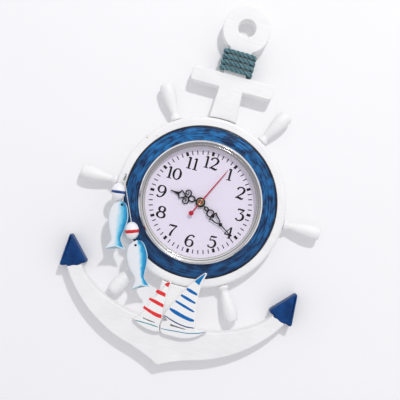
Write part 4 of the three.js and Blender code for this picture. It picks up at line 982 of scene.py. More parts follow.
@dataclass(frozen=True)
class FloatPaint(Finish):
    """Turned wooden float, dipped white, with one painted ring about its middle."""

    ring: str
    start: float
    end: float
    ground: str = "#f1f1f5"
    soft: float = 0.15

    def paint(self, tree: NodeTree, shader: Node) -> None:
        """Reads V, the millimetres along the skin from the upper mouth, with a hand's wobble.

        Args:
            tree: The material's nodes.
            shader: Its shader.
        """
        where = add(tree, "UVMap", uv_map="surface")
        spot = add(tree, "TexCoord", output="Object")
        down = add(tree, "SeparateXYZ", {0: where}, "Y")
        wobble = add(tree, "TexNoise", {"Vector": spot, "Scale": per(4.0), "Detail": 3.0})
        shift = add(tree, "MapRange", {0: wobble, 3: -0.5, 4: 0.5})
        level = add(tree, "Math", {0: down, 1: shift}, operation="ADD")
        above = add(tree, "MapRange", {0: level, 1: self.start - self.soft, 2: self.start + self.soft})
        below = add(tree, "MapRange", {0: level, 1: self.end + self.soft, 2: self.end - self.soft})
        inside = add(tree, "Math", {0: above, 1: below}, operation="MULTIPLY")
        colour = add(tree, "Mix", {0: inside, 6: linear(self.ground), 7: linear(self.ring)}, data_type="RGBA")
        bump = add(tree, "Bump", {"Height": wobble, "Distance": 0.12 * MM, "Strength": 1.0})
        feed(shader, {"Base Color": colour, "Normal": bump, "Roughness": 0.35, "Coat Weight": 0.3})


WHITE_PAINT = BrushedPaint("white_emulsion_on_board", "white_paint")
RUBBED_WHITE = BrushedPaint(
    "white_emulsion_rubbed_at_the_rim", "white_paint",
    rubs=(((-61.0, 44.0, 15.0), 5.5), ((-52.0, 47.5, 15.0), 3.5)),
)
NAVY_PAINT = BrushedPaint(
    "navy_acrylic_brushed", "navy_paint", "#0a4788", "#042a5c", 0.5, patch=9.0, brush=0.6, relief=0.12,
    specular=0.2, turn=(0.0, 0.6, 0.0),
)
BLUE_ENAMEL = TurnedGloss("blue_enamel_streaked", "blue_paint")
# Rope and twine: their groove colour is painted shade between the strands.
ROPE_YARN = LaidCord("dyed_cotton_rope", "rope")
TWINE_YARN = LaidCord(
    "cotton_twine", "twine", "#ffffff", "#f6f2ea", "#d9d2c6", radius=0.45, strands=2, yarn=0.25, relief=0.05,
)
SILVER = BareMetal("silvered_pressed_brass", "silver", "#f6f5f5", 0.2, relief=0.0004)
STEEL = BareMetal("zinc_plated_steel", "steel", "#b9bcc0", 0.35)
BRASS = BareMetal("turned_brass", "brass", "#cbbf8e", 0.28)
COPPER = BareMetal("enamelled_copper_wire", "copper", "#b46a3c", 0.32, line=0.12, relief=0.03)
BLACK_PLASTIC = Moulded("black_polystyrene", "black_plastic", "#1c1d20", "#26282c")
WHITE_PLASTIC = Moulded("white_polystyrene", "white_plastic", "#e9e9e4", "#dededa", 0.4)
RUBBER = Moulded("black_rubber", "rubber", "#26262a", "#303034", 0.85, relief=0.03)
BOARD_GREEN = Moulded("green_circuit_board", "board", "#2f6b3c", "#215a30", 0.4)
DIAL_CARD = Moulded("matt_printed_card", "dial_card", "#f3ecfc", "#eee7f8", 0.7, grain=0.25, relief=0.01)
DIAL_INK = Moulded("printing_ink", "black_lacquer", "#050508", "#0a0a0f", 0.75)
BLACK_LACQUER = Moulded("black_lacquered_steel", "black_lacquer", "#060609", "#0c0c10", 0.35, coat=0.2)
RED_LACQUER = Moulded("red_lacquered_steel", "red_lacquer", "#c81538", "#b30f30", 0.35, coat=0.3)
RED_PAINT = StripePaint("red_brushed_stripe", "red_lacquer", "#d8121c", "#f04a4c")
STRIPE_BLUE = StripePaint("blue_brushed_stripe", "blue_paint", "#064b9a", "#0b7cc6")
PEAK_BLUE = StripePaint("blue_brushed_peak", "blue_paint", "#0c8fc4", "#0a55a8", patch=3.5)
NAVY_LINE = StripePaint("navy_brushed_line", "blue_paint", "#12326f", "#1c4a8c", relief=0.04)
DECK_TEAL = StripePaint("teal_brushed_line", "blue_paint", "#1d8a96", "#3ba3a8", relief=0.04)
DECK_BLUE = StripePaint("sky_blue_brushed_line", "blue_paint", "#2a7fb0", "#2f93a8", relief=0.04)
EYE_BLACK = Moulded("black_painted_dot", "black_lacquer", "#141418", "#1e1e24", 0.3)
CLEAR_LENS = ClearSheet("clear_acrylic_lens", "glass")
BEECH = SawnBeech("bare_beech", "bare_wood")
SOFT_FISH = FishPaint("painted_fish_soft", "fish_paint")
CRISP_FISH = FishPaint("painted_fish_crisp", "fish_paint", back="#12a2d6", bands=(0.56, 0.68, 0.76, 0.93))
NAVY_RING = FloatPaint("float_with_navy_ring", "white_paint", "#123f86", 9.1, 11.5)
RED_RING = FloatPaint("float_with_red_ring", "white_paint", "#d41f28", 9.2, 12.1)


def dress(piece: Object, finish: Finish, *replaces: str, body: Body = Body.CLOCK) -> Object:
    """Gives a new piece its finish and its body.

    Args:
        piece: The piece.
        finish: Its finish.
        replaces: The CAD nodes that it stands for.
        body: The body that it rides on.

    Returns:
        The piece.
    """
    piece.data.materials.clear()
    piece.data.materials.append(finish.material())
    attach(piece, body.value)
    if replaces:
        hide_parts(*replaces)
    log.info("%s: %d faces, %s", piece.name, len(piece.data.polygons), finish.name)
    return piece


# The studio


@dataclass
class Studio:
    """Camera at the photograph's viewing angle, one lamp, a pale wall behind and a pale floor below."""

    camera_at: tuple = (-0.00093, -0.7685, -0.0981)
    camera_right: tuple = (0.9657, 0.0, 0.2597)
    camera_up: tuple = (-0.2597, 0.0, 0.9657)
    lens: float = 76.7
    lamp_at: tuple = (0.241, -1.6, 1.092)
    lamp_power: float = 61.5
    lamp_colour: tuple = (1.0, 0.985, 0.965)
    lamp_radius: float = 0.052
    sky: tuple = (0.700, 0.704, 0.732, 1.0)
    page: tuple = (0.93, 0.93, 0.935, 1.0)
    room: tuple = (0.27, 0.26, 0.28, 1.0)
    room_side: tuple = (0.0, -1.0, -0.4)
    wall_colours: tuple = ("#f7f6f7", "#f4f3f4")
    wall_reach: float = 1.5
    wall_back: float = 0.0005
    floor_height: float = -0.6

    def camera(self) -> None:
        """Makes the camera, which looks straight at the wall and is turned about its own axis."""
        data = bpy.data.cameras.new("camera")
        data.lens = self.lens
        data.sensor_width = 36.0
        camera = shown("camera", data)
        back = np.cross(self.camera_right, self.camera_up)
        turn = np.stack([self.camera_right, self.camera_up, back], -1)
        camera.matrix_world = Matrix.Translation(self.camera_at) @ Matrix(turn.tolist()).to_4x4()
        bpy.context.scene.camera = camera

    def light(self) -> None:
        """Makes the lamp and the sky: a white page to the camera, which darkens to one side in mirrors."""
        data = bpy.data.lights.new("lamp", "POINT")
        data.energy = self.lamp_power
        data.color = self.lamp_colour
        data.shadow_soft_size = self.lamp_radius
        shown("lamp", data).location = self.lamp_at
        world = bpy.data.worlds.new("sky")
        bpy.context.scene.world = world
        world.use_nodes = True
        tree = world.node_tree
        ray = add(tree, "LightPath").node.outputs
        looking = add(tree, "TexCoord", output="Generated")
        facing = add(tree, "VectorMath", {0: looking, 1: self.room_side}, operation="DOT_PRODUCT")
        share = add(tree, "MapRange", {0: facing, 1: 0.05, 2: 0.75})
        mirrored = add(tree, "Mix", {0: share, 6: self.page, 7: self.room}, data_type="RGBA")
        colour = add(tree, "Mix", {0: ray["Is Glossy Ray"], 6: self.sky, 7: mirrored}, data_type="RGBA")
        colour = add(tree, "Mix", {0: ray["Is Camera Ray"], 6: colour, 7: self.page}, data_type="RGBA")
        feed(tree.nodes["Background"], {"Color": colour})

    def wall(self) -> None:
        """Makes the wall, seen only from the front and by the camera, and the floor far below."""
        square = np.array([[-1, 0, -1], [1, 0, -1], [1, 0, 1], [-1, 0, 1]]) * self.wall_reach
        sheets = {"wall": square + (0, self.wall_back, 0)}
        sheets["floor"] = square[:, [0, 2, 1]] + (0, 0, self.floor_height)
        material = bpy.data.materials.new("painted_wall")
        material.use_nodes = True
        tree = material.node_tree
        shader = tree.nodes["Principled BSDF"]
        where = add(tree, "TexCoord", output="Object")
        cloud = add(tree, "TexNoise", {"Vector": where, "Scale": per(160.0), "Detail": 2.0})
        base, other = (linear(tone) for tone in self.wall_colours)
        tinted = add(tree, "Mix", {0: cloud, 6: base, 7: other}, data_type="RGBA")
        feed(shader, {"Base Color": tinted, "Roughness": 0.9, "Specular IOR Level": 0.1})
        see_through = add(tree, "BsdfTransparent")
        camera_ray = add(tree, "LightPath", output="Is Camera Ray")
        behind = add(tree, "NewGeometry", output="Backfacing")
        front = add(tree, "Math", {0: 1.0, 1: behind}, operation="SUBTRACT")
        seen = add(tree, "Math", {0: front, 1: camera_ray}, operation="MULTIPLY")
        both = add(tree, "MixShader", {0: seen, 1: see_through, 2: shader.outputs[0]})
        feed(tree.nodes["Material Output"], {"Surface": both})
        for name, points in sheets.items():
            mesh = bpy.data.meshes.new(name)
            mesh.from_pydata(points.tolist(), [], [[0, 1, 2, 3]])
            mesh.materials.append(material)
            shown(name, mesh)

    def build(self) -> None:
        """Makes the camera, the lights, the wall and the floor."""
        self.camera()
        self.light()
        self.wall()
        bpy.context.scene.view_settings.view_transform = "Standard"


# The anchor


@dataclass
class Anchor:
    """Two boards, two flukes: sawn outlines with rounded edges, fitted against the wheel's rim."""

    seat: float = 76.4
    edge: float = 1.15
    stem_bottom: float = 12.3
    stem_top: float = 10.7
    stock_bottom: float = 103.0
    stock_height: float = 13.4
    stock_half: float = 37.4
    stock_corner: float = 3.6
    neck_half: float = 10.2
    eye_centre: float = 158.0
    eye_radius: float = 21.3
    eye_hole: float = 7.75
    eye_hole_lift: float = 1.3
    shank_half: float = 15.0
    arm_centre: float = -24.0
    arm_radius: float = 117.0
    crown_depth: float = 8.2
    crown_start: float = 34.3
    crown_bend: float = 14.3
    arm_inner: tuple = ((24.3, -67.7), (17.8, -55.3), (10.1, -41.97))
    arm_dip: float = 1.6
    arm_fillet: float = 5.0
    arm_end: tuple = (0.22, 0.74)
    fluke_inner: tuple = (18.2, -33.06)
    fluke_outer: tuple = (-6.8, -30.58)
    fluke_apex: tuple = (8.04, -16.64)
    fluke_corner: float = 3.8
    fluke_edge: float = 1.9
    smear_points: int = 40
    smear_reach: float = 0.7
    smear_waves: tuple = ((0.22, 0.27, 1), (0.05, 0.9, 2))
    smear_margin: float = 0.03
    smear_overlap: float = 2.3
    smear_film: float = 0.06
    smear_edge: float = 0.05
    gap: float = 0.3
    rope_middle: float = 127.85
    rebate_half: tuple = (15.9, 12.85)
    rebate_depth: float = 5.4
    plate_middle: float = 97.4
    plate_half: tuple = (7.8, 17.3)
    plate_depth: float = 2.1
    pocket_half: tuple = (4.5, 11.0)
    pocket_depth: float = 9.0

    def shank_outline(self) -> np.ndarray:
        """Outline of the upper board: foot, stem, stock, neck and round eye, anticlockwise.

        Returns:
            The outline.
        """
        foot = np.sqrt(self.seat**2 - self.stem_bottom**2)
        lean = np.degrees(np.arcsin(self.stem_bottom / self.seat))
        top = self.stock_bottom + self.stock_height
        junction = self.eye_centre - np.sqrt(self.eye_radius**2 - self.neck_half**2)
        start = np.degrees(np.arctan2(junction - self.eye_centre, self.neck_half))
        corners = [
            (self.stem_bottom, foot), (self.stem_top, self.stock_bottom),
            (self.stock_half, self.stock_bottom), (self.stock_half, top), (self.neck_half, top),
            (self.neck_half, junction),
        ]
        radii = [0, 0.8, self.stock_corner, self.stock_corner, 0.8, 0]
        right = eased(np.array(corners, float), radii, closed=False)
        right = np.vstack([right, corners[-1:]])
        eye = arc(self.eye_radius, start, 180 - start, 80, (0, self.eye_centre))
        seat = arc(self.seat, 90 + lean, 90 - lean, 30)
        left = right[::-1] * (-1, 1)
        return unique_loop(np.vstack([right, eye, left, seat]))

    def on_arm(self, depth: float, degrees: float) -> np.ndarray:
        """A point of the right arm, from its depth inside the arm's circle and its angle."""
        reach, angle = self.arm_radius - depth, np.radians(degrees)
        return np.array([reach * np.cos(angle), self.arm_centre + reach * np.sin(angle)])

    def half_arm(self) -> np.ndarray:
        """Right half of the lower board's outline, from the crown's tip round to the shank's top.

        Returns:
            The line.
        """
        inner, outer = self.on_arm(*self.fluke_inner), self.on_arm(*self.fluke_outer)
        inside, outside = (inner + share * (outer - inner) for share in self.arm_end)
        low = self.arm_centre - self.arm_radius
        reach = outside[0] - self.gap
        ends = np.array([self.crown_start, reach])
        angles = np.degrees(np.arctan2(-np.sqrt(self.arm_radius**2 - ends**2), ends))
        under = arc(self.arm_radius, *angles, 90, (0, self.arm_centre))
        crown = bend((0, low - self.crown_depth), (self.crown_bend, low), under[0])
        start, pull, last = (self.on_arm(*point) for point in self.arm_inner)
        above = cubic(inside, last, pull, start, 50)
        flat = start[1] - self.arm_dip
        corner = bend((self.shank_half + self.arm_fillet, flat), (self.shank_half, flat),
                      (self.shank_half, flat + self.arm_fillet))
        top = np.array([[self.shank_half, -np.sqrt(self.seat**2 - self.shank_half**2)]])
        return np.vstack([crown[:-1], under, outside[None], above, corner, top])

    def arm_outline(self) -> np.ndarray:
        """Outline of the lower board: crown, arms, shank and the hollow that takes the wheel.

        Returns:
            The outline.
        """
        right = self.half_arm()
        lean = np.degrees(np.arcsin(self.shank_half / self.seat))
        seat = arc(self.seat, 270 + lean, 270 - lean, 30)
        left = right[::-1] * (-1, 1)
        return unique_loop(np.vstack([right[:-1], seat, left[1:-1]]))

    def fluke_outline(self, side: int) -> np.ndarray:
        """Outline of an arrowhead, lifted off the arm's end by the gap, with small round corners.

        Args:
            side: 1 for the right arrowhead, -1 for the left.

        Returns:
            The outline.
        """
        spots = (self.fluke_inner, self.fluke_outer, self.fluke_apex)
        inner, outer, apex = (self.on_arm(*spot) for spot in spots)
        lift = np.array([inner[1] - outer[1], outer[0] - inner[0]])
        lift *= self.gap / np.linalg.norm(lift)
        corners = np.array([inner + lift, outer + lift, apex]) * (side, 1)
        return eased(corners, self.fluke_corner, steps=7)

    def smear_outline(self, side: int) -> np.ndarray:
        """Outline of the blue paint that ran past the arrowhead's foot on to the arm, with a wavy edge.

        Args:
            side: 1 for the right arrowhead, -1 for the left.

        Returns:
            The outline.
        """
        inner, outer = self.on_arm(*self.fluke_inner), self.on_arm(*self.fluke_outer)
        start, stop = self.arm_end[0] + self.smear_margin, self.arm_end[1] - self.smear_margin
        share = np.linspace(start, stop, self.smear_points)[:, None]
        foot = inner + share * (outer - inner)
        down = np.array([outer[1] - inner[1], inner[0] - outer[0]])
        down *= np.sign(-down[1]) / np.linalg.norm(down)
        count = np.arange(self.smear_points)[:, None]
        waves = [high * np.sin(rate * count + turn * side) for high, rate, turn in self.smear_waves]
        reach = self.smear_reach + sum(waves)
        return np.vstack([foot - self.smear_overlap * down, (foot + reach * down)[::-1]]) * (side, 1)

    def build(self) -> None:
        """Makes both boards, both arrowheads and the paint over their joints."""
        hole = arc(self.eye_hole, 0, 354, 60, (0, self.eye_centre + self.eye_hole_lift))
        shank = cut_out("anchor_shank", [self.shank_outline(), hole], 0.0, BOARD_FRONT, self.edge)
        carve(shank, [
            pocket("rebate", self.rebate_half, self.rope_middle, self.rebate_depth),
            pocket("plate_seat", self.plate_half, self.plate_middle, self.plate_depth),
            pocket("pocket", self.pocket_half, self.plate_middle, self.pocket_depth),
        ])
        dress(shank, WHITE_PAINT, "anchor_shank_board")
        arms = cut_out("anchor_arms", [self.arm_outline()], 0.0, BOARD_FRONT, self.edge)
        dress(arms, WHITE_PAINT, "anchor_arm_board")
        for side, word in ((-1, "left"), (1, "right")):
            outline = [self.fluke_outline(side)]
            fluke = cut_out(f"arrowhead_{word}", outline, 0.0, BOARD_FRONT, self.fluke_edge)
            dress(fluke, NAVY_PAINT, f"fluke_{word}")
            outline = [self.smear_outline(side)]
            low, high = BOARD_FRONT - SUNK, BOARD_FRONT + self.smear_film
            smear = cut_out(f"paint_over_joint_{word}", outline, low, high, self.smear_edge)
            dress(smear, NAVY_PAINT)


# The rope


@dataclass
class RopeWinding:
    """Four turns of three-strand rope round the neck, glued behind it."""

    diameter: float = 4.5
    pitch: float = 5.0
    turns: int = 4
    corner: float = 3.2
    half: float = 13.05
    low: float = 2.55
    high: float = 17.85
    middle: float = 127.85
    lay: float = 12.5
    level: float = 0.8
    step: float = 0.45

    def path(self) -> tuple[np.ndarray, np.ndarray]:
        """Centreline in metres and the direction out of the neck: a rounded rectangle.

        It climbs mostly behind the neck: climb = turn + level sin(2 pi turn) / (2 pi), nearly flat in front.

        Returns:
            The points, and the direction at each.
        """
        c, half, low, high = self.corner, self.half, self.low, self.high
        loop = np.vstack([
            [[0, low]],
            arc(c, -90, 0, 14, (half - c, low + c)), arc(c, 0, 90, 14, (half - c, high - c)),
            arc(c, 90, 180, 14, (c - half, high - c)), arc(c, 180, 270, 14, (c - half, low + c)),
        ])
        ring = evenly(loop, self.step, closed=True)
        count = len(ring) * self.turns
        turn = np.arange(count + 1) / len(ring)
        spots = ring[np.arange(count + 1) % len(ring)]
        climb = turn + self.level * np.sin(FULL_TURN * turn) / FULL_TURN
        lift = self.middle + (climb - self.turns / 2) * self.pitch
        path = place(spots[:, 0], lift, spots[:, 1])
        centre = np.array([0.0, (low + high) / 2])
        away = spots - centre
        outward = np.stack([away[:, 0], -away[:, 1], 0 * lift], -1)
        return path, outward

    def build(self) -> None:
        """Makes the winding."""
        path, outward = self.path()
        rope = twisted("rope_turns", path, outward, self.diameter / 2 * MM, 3, self.lay * MM)
        dress(rope, ROPE_YARN, "rope_winding")


# The ship's wheel


@dataclass
class ShipsWheel:
    """A turned ring with a blue band let into its face, and six turned handles."""

    bore: float = 52.9
    radius: float = 76.1
    recess: float = 68.1
    floor: float = 12.6
    rim_rounds: tuple = (0.3, 0.8, 3.4, 0.5, 0, 0.2)
    band_rounds: tuple = (0.1, 0.1, 0.8, 0.3)
    band_inner: float = 53.2
    band_outer: float = 67.8
    band_back: float = 12.9
    handles: int = 6
    handle_height: float = 8.2
    handle_length: float = 34.0
    handle_tenon: tuple = ((0, -6.5), (3.0, -6.5), (3.0, 0.3))
    handle_profile: tuple = (
        (4.0, 0.3), (4.75, 1.0), (4.95, 2.0), (4.6, 3.2), (3.75, 4.4), (3.3, 5.6), (3.5, 7.5), (4.65, 12.5),
        (5.95, 19.0), (6.6, 25.0), (6.4, 29.5), (5.8, 32.2), (4.4, 33.6), (1.8, 33.95),
    )
    handle_leans: tuple = (0.0, 0.0, 1.3, 0.0, 0.0, 0.0)
    handle_extras: tuple = (0.0, 0.0, 0.0, 0.0, 2.3, 0.0)

    def ring(self) -> None:
        """Turns the ring: a closed section with a large round at the front edge."""
        corners = [
            (self.bore, 0), (self.radius, 0), (self.radius, BOARD_FRONT), (self.recess, BOARD_FRONT),
            (self.recess, self.floor), (self.bore, self.floor),
        ]
        section = eased(np.array(corners, float), self.rim_rounds, steps=8)
        ring = lathe("wheel_rim", section, segments=240, closed=True)
        dress(ring, RUBBED_WHITE, "wheel_ring")

    def band(self) -> None:
        """Turns the band, which stands a hair proud of the rim with a soft painted edge."""
        corners = [
            (self.band_inner, self.band_back), (self.band_outer, self.band_back),
            (self.band_outer, BOARD_FRONT), (self.band_inner, BOARD_FRONT),
        ]
        section = eased(np.array(corners, float), self.band_rounds, steps=6)
        band = lathe("blue_band", section, segments=240, closed=True)
        dress(band, BLUE_ENAMEL, "wheel_band")

    def handle(self, number: int) -> None:
        """Turns a handle: tenon, collar, waist and a long belly. By hand, so one leans and one is longer.

        Args:
            number: Number of the handle, from 0 at the right and on against the clock.
        """
        rim = self.radius
        tenon = np.array(self.handle_tenon) + (0, rim)
        belly = through(np.array(self.handle_profile) + (0, rim), 8)
        profile = np.vstack([tenon, belly, [[0, rim + self.handle_length]]])
        stretch = 1 + self.handle_extras[number] / self.handle_length
        profile[:, 1] = np.where(profile[:, 1] > rim, rim + (profile[:, 1] - rim) * stretch, profile[:, 1])
        angle = FULL_TURN * number / self.handles + np.radians(self.handle_leans[number])
        axis = (np.cos(angle), 0, np.sin(angle))
        origin = (0, -self.handle_height * MM, DIAL_Z * MM)
        handle = lathe(f"spoke_handle_{number + 1}", profile, origin, axis, segments=56)
        dress(handle, WHITE_PAINT, f"handle_{number + 1}")

    def build(self) -> None:
        """Makes the ring, the band and the handles."""
        self.ring()
        self.band()
        for number in range(self.handles):
            self.handle(number)


# The clock insert


def numeral_strokes() -> dict[str, list]:
    """Pen strokes of each figure about its middle: x, z and half the pen's width at each point, in mm.

    The pen is broad on upright strokes and fine on level ones. A nine is a six turned upside down.

    Returns:
        A list of strokes for each figure.
    """
    stem = [(0.3, 5.1, 0.68), (0.3, 0, 0.68), (0.3, -5.0, 0.68)]
    flag = [(0.6, 5.15, 0.15), (-0.5, 4.6, 0.5), (-1.7, 3.9, 0.2)]
    foot = [(-1.8, -5.0, 0.3), (2.4, -5.0, 0.3)]
    six = [[
        (3.0, 3.7, 0.75), (2.3, 4.9, 0.5), (0.6, 5.1, 0.4), (-1.4, 3.9, 0.5), (-2.8, 1.2, 0.72),
        (-3.2, -1.8, 0.8), (-2.1, -4.4, 0.5), (0.0, -5.15, 0.36), (2.3, -4.3, 0.55), (3.1, -2.0, 0.75),
        (2.3, 0.2, 0.5), (0.3, 0.95, 0.34), (-1.8, 0.0, 0.34), (-2.9, -1.6, 0.3),
    ]]
    angle = np.linspace(0, FULL_TURN, 41)
    pen = 0.36 + 0.42 * np.cos(angle) ** 2

    def ring(x: float, z: float, wide: float, tall: float) -> np.ndarray:
        """A loop of the pen about a middle."""
        return np.stack([x + wide * np.cos(angle), z + tall * np.sin(angle), pen], -1)

    return {
        "0": [ring(0, 0, 3.15, 4.8)],
        "1": [stem, flag, foot],
        "2": [
            [(-3.0, 2.5, 0.7), (-2.6, 4.0, 0.5), (-0.6, 5.1, 0.4), (1.8, 4.7, 0.55), (3.0, 2.9, 0.78),
             (2.4, 0.9, 0.65), (0.4, -1.4, 0.45), (-3.3, -4.8, 0.3)],
            [(-3.5, -4.9, 0.3), (-1.9, -4.2, 0.55), (0.4, -4.5, 0.75), (2.3, -4.9, 0.6), (3.6, -3.9, 0.28)],
        ],
        "3": [
            [(-2.6, 3.4, 0.25), (-2.4, 4.8, 0.42)],
            [(-2.6, 4.8, 0.45), (0.4, 4.7, 0.6), (3.1, 4.9, 0.4)],
            [(3.0, 4.9, 0.4), (1.4, 2.9, 0.32), (-0.4, 1.1, 0.3)],
            [(-0.4, 1.1, 0.3), (1.6, 0.9, 0.45), (3.1, -0.8, 0.76), (2.8, -3.2, 0.74), (0.8, -4.9, 0.5),
             (-1.6, -4.9, 0.45), (-3.0, -3.6, 0.62)],
        ],
        "4": [
            [(1.2, 5.1, 0.3), (-3.6, -1.7, 0.3)],
            [(-3.7, -1.9, 0.42), (3.4, -1.9, 0.42)],
            [(1.3, 5.1, 0.62), (1.3, -4.9, 0.66)],
            [(-0.7, -5.0, 0.24), (3.3, -5.0, 0.24)],
        ],
        "5": [
            [(-2.0, 4.7, 0.45), (0.4, 4.5, 0.62), (3.2, 5.0, 0.35)],
            [(-1.9, 4.7, 0.32), (-2.5, 0.7, 0.28)],
            [(-2.5, 0.7, 0.3), (-0.4, 1.6, 0.42), (2.0, 1.0, 0.6), (3.1, -1.2, 0.78), (2.4, -3.7, 0.62),
             (0.2, -5.1, 0.42), (-2.0, -4.9, 0.45), (-3.2, -3.6, 0.62)],
        ],
        "6": six,
        "7": [
            [(-3.2, 3.2, 0.22), (-3.0, 4.7, 0.4)],
            [(-3.1, 4.7, 0.45), (0.2, 4.5, 0.66), (3.5, 4.9, 0.35)],
            [(3.4, 4.8, 0.32), (1.6, 2.2, 0.4), (0.0, -0.8, 0.58), (-0.7, -3.2, 0.72), (-0.8, -5.1, 0.8)],
        ],
        "8": [ring(0, 2.65, 2.55, 2.35), ring(0, -2.45, 3.35, 2.6)],
        "9": [[(-x, -z, half) for x, z, half in six[0]]],
    }


@dataclass
class ClockFace:
    """Silvered bezel, clear lens and printed dial with its minute track and figures."""

    dial_front: float = 12.0
    dial_back: float = 11.4
    dial_radius: float = 50.2
    dial_bore: float = 3.4
    track_inner: float = 42.4
    track_outer: float = 46.0
    hour_mark_half: float = 1.15
    minute_mark_half: float = 0.42
    figure_spots: tuple = (
        (18.7, 30.5), (32.1, 17.1), (36.7, -1.7), (31.2, -19.4), (19.1, -31.1), (-0.5, -35.3),
        (-17.9, -30.7), (-31.2, -17.3), (-35.9, 0.5), (-30.0, 18.9), (-15.8, 31.5), (-0.6, 36.2),
    )
    figure_gap: float = 5.5
    wide_gap: float = 1.6
    one_shift: float = 0.35
    layer: float = 0.004
    pen_weight: float = 1.35
    ink: float = 0.05
    lens_back: float = 17.3
    lens_front: float = 18.3
    lens_radius: float = 50.2
    nut_radius: float = 4.6

    def bezel(self) -> None:
        """Turns the bezel: a rolled outer lip, a shoulder and a bright slope down to the lens."""
        corners = [
            (50.5, 16.9), (51.8, 16.9), (51.8, 15.3), (55.0, 15.3), (55.0, 17.4), (54.7, 18.5),
            (53.2, 20.0), (51.5, 18.95), (51.3, 18.75), (50.8, 19.4), (49.3, 18.35), (49.3, 18.6),
            (50.5, 18.6),
        ]
        radii = [0, 0, 0.1, 0.3, 0.6, 0.4, 0.35, 0.12, 0.08, 0.25, 0.05, 0.05, 0]
        section = eased(np.array(corners), radii, steps=7)
        bezel = lathe("bezel_ring", section, segments=240, closed=True)
        dress(bezel, SILVER, "bezel")

    def lens(self) -> None:
        """Turns the flat lens."""
        back, front, radius = self.lens_back, self.lens_front, self.lens_radius
        section = np.array([(0, back), (radius - 0.1, back), (radius, back + 0.1), (radius, front - 0.1),
                            (radius - 0.1, front), (0, front)])
        lens = lathe("clear_lens", section, segments=160)
        dress(lens, CLEAR_LENS, "lens")

    def dial(self) -> None:
        """Turns the dial card with its bore."""
        section = np.array([
            (self.dial_bore, self.dial_back), (self.dial_radius, self.dial_back),
            (self.dial_radius, self.dial_front), (self.dial_bore, self.dial_front),
        ])
        dial = lathe("dial_card", section, segments=160, closed=True)
        dress(dial, DIAL_CARD, "dial_plate")

    def track(self) -> None:
        """Prints sixty marks, every fifth one broad."""
        marks = []
        for minute in range(60):
            angle = np.radians(6 * minute)
            spoke = np.array([np.sin(angle), np.cos(angle)])
            half = self.minute_mark_half if minute % 5 else self.hour_mark_half
            line = np.stack([spoke * self.track_inner, spoke * self.track_outer])
            low, high = self.dial_front - self.ink, self.dial_front + self.ink
            marks.append(stroke(line, half, low, high, crown=0.1))
        dress(join_strokes("minute_track", marks), DIAL_INK)

    def figures(self) -> None:
        """Prints the twelve figures upright, each stroke a hair above the one before."""
        shapes = numeral_strokes()
        for number in range(1, 13):
            digits = str(number)
            parts = []
            for order, digit in enumerate(digits):
                wide = digits[-1] != "1"
                shift = (order - (len(digits) - 1) / 2) * (self.figure_gap + self.wide_gap * wide)
                shift += self.one_shift * (wide and order < len(digits) - 1)
                middle = np.array(self.figure_spots[number - 1]) + (shift, 0)
                for layer, points in enumerate(shapes[digit]):
                    line = points if isinstance(points, np.ndarray) else through(points, 8)
                    low, high = self.dial_front - self.ink, self.dial_front + self.ink + self.layer * layer
                    pen = line[:, 2] * self.pen_weight
                    parts.append(stroke(line[:, :2] + middle, pen, low, high, crown=0.1))
            dress(join_strokes(f"figure_{number}", parts), DIAL_INK)

    def nut(self) -> None:
        """Mills the six-sided nut that holds the dial, under the hands."""
        radius = self.nut_radius
        section = np.array([(3.6, 12.1), (radius, 12.1), (radius, 12.8), (4.4, 13.0), (3.6, 13.0)])
        nut = lathe("dial_fixing_nut", section, segments=6, closed=True)
        nut.data.shade_flat()
        dress(nut, BRASS, "dial_nut")

    def build(self) -> None:
        """Makes the front of the insert."""
        self.bezel()
        self.lens()
        self.dial()
        self.track()
        self.figures()
        self.nut()


@dataclass(frozen=True)
class Loop:
    """A closed stroke of a hand: an ellipse about a point on the hand's line."""

    along: float
    long: float
    wide: float
    half: float = 0.62
    count: int = 48
    crown: float = 0.3
    proud: float = 0.0


@dataclass
class Hand:
    """A pierced hand of thin sheet. Its bars are given by along, across and half width at each point."""

    name: str
    node: str
    body: Body
    finish: Finish
    turn: float
    back: float
    loops: tuple
    bars: tuple
    pairs: tuple = ()
    thickness: float = 0.35

    def laid(self, line: np.ndarray) -> np.ndarray:
        """Turns points along and across the hand into front-view points, the hand pointing its way."""
        ahead, aside = np.cos(np.radians(self.turn)), np.sin(np.radians(self.turn))
        return line[:, :1] * (aside, ahead) + line[:, 1:2] * (-ahead, aside)

    def bar(self, points: tuple, side: int = 1) -> tuple:
        """One bar, on a smooth line, on its own side of the hand or mirrored."""
        line = through(points, 8) * (1, side, 1)
        return stroke(self.laid(line), line[:, 2], self.back, self.back + self.thickness)

    def loop(self, loop: Loop) -> tuple:
        """One loop: along = middle + long cos a, across = wide sin a.

        Args:
            loop: Its middle, its half lengths and its stroke.

        Returns:
            Its points, quads and ends.
        """
        angle = np.linspace(0, FULL_TURN, loop.count, endpoint=False)
        line = np.stack([loop.along + loop.long * np.cos(angle), loop.wide * np.sin(angle)], -1)
        front = self.back + self.thickness + loop.proud
        return stroke(self.laid(line), loop.half, self.back, front, True, loop.crown)

    def build(self) -> None:
        """Makes the hand of its loops, its bars, and its pairs of bars on both sides."""
        parts = [self.loop(loop) for loop in self.loops] + [self.bar(points) for points in self.bars]
        parts += [self.bar(points, side) for side in (1, -1) for points in self.pairs]
        dress(join_strokes(self.name, parts), self.finish, self.node, body=self.body)


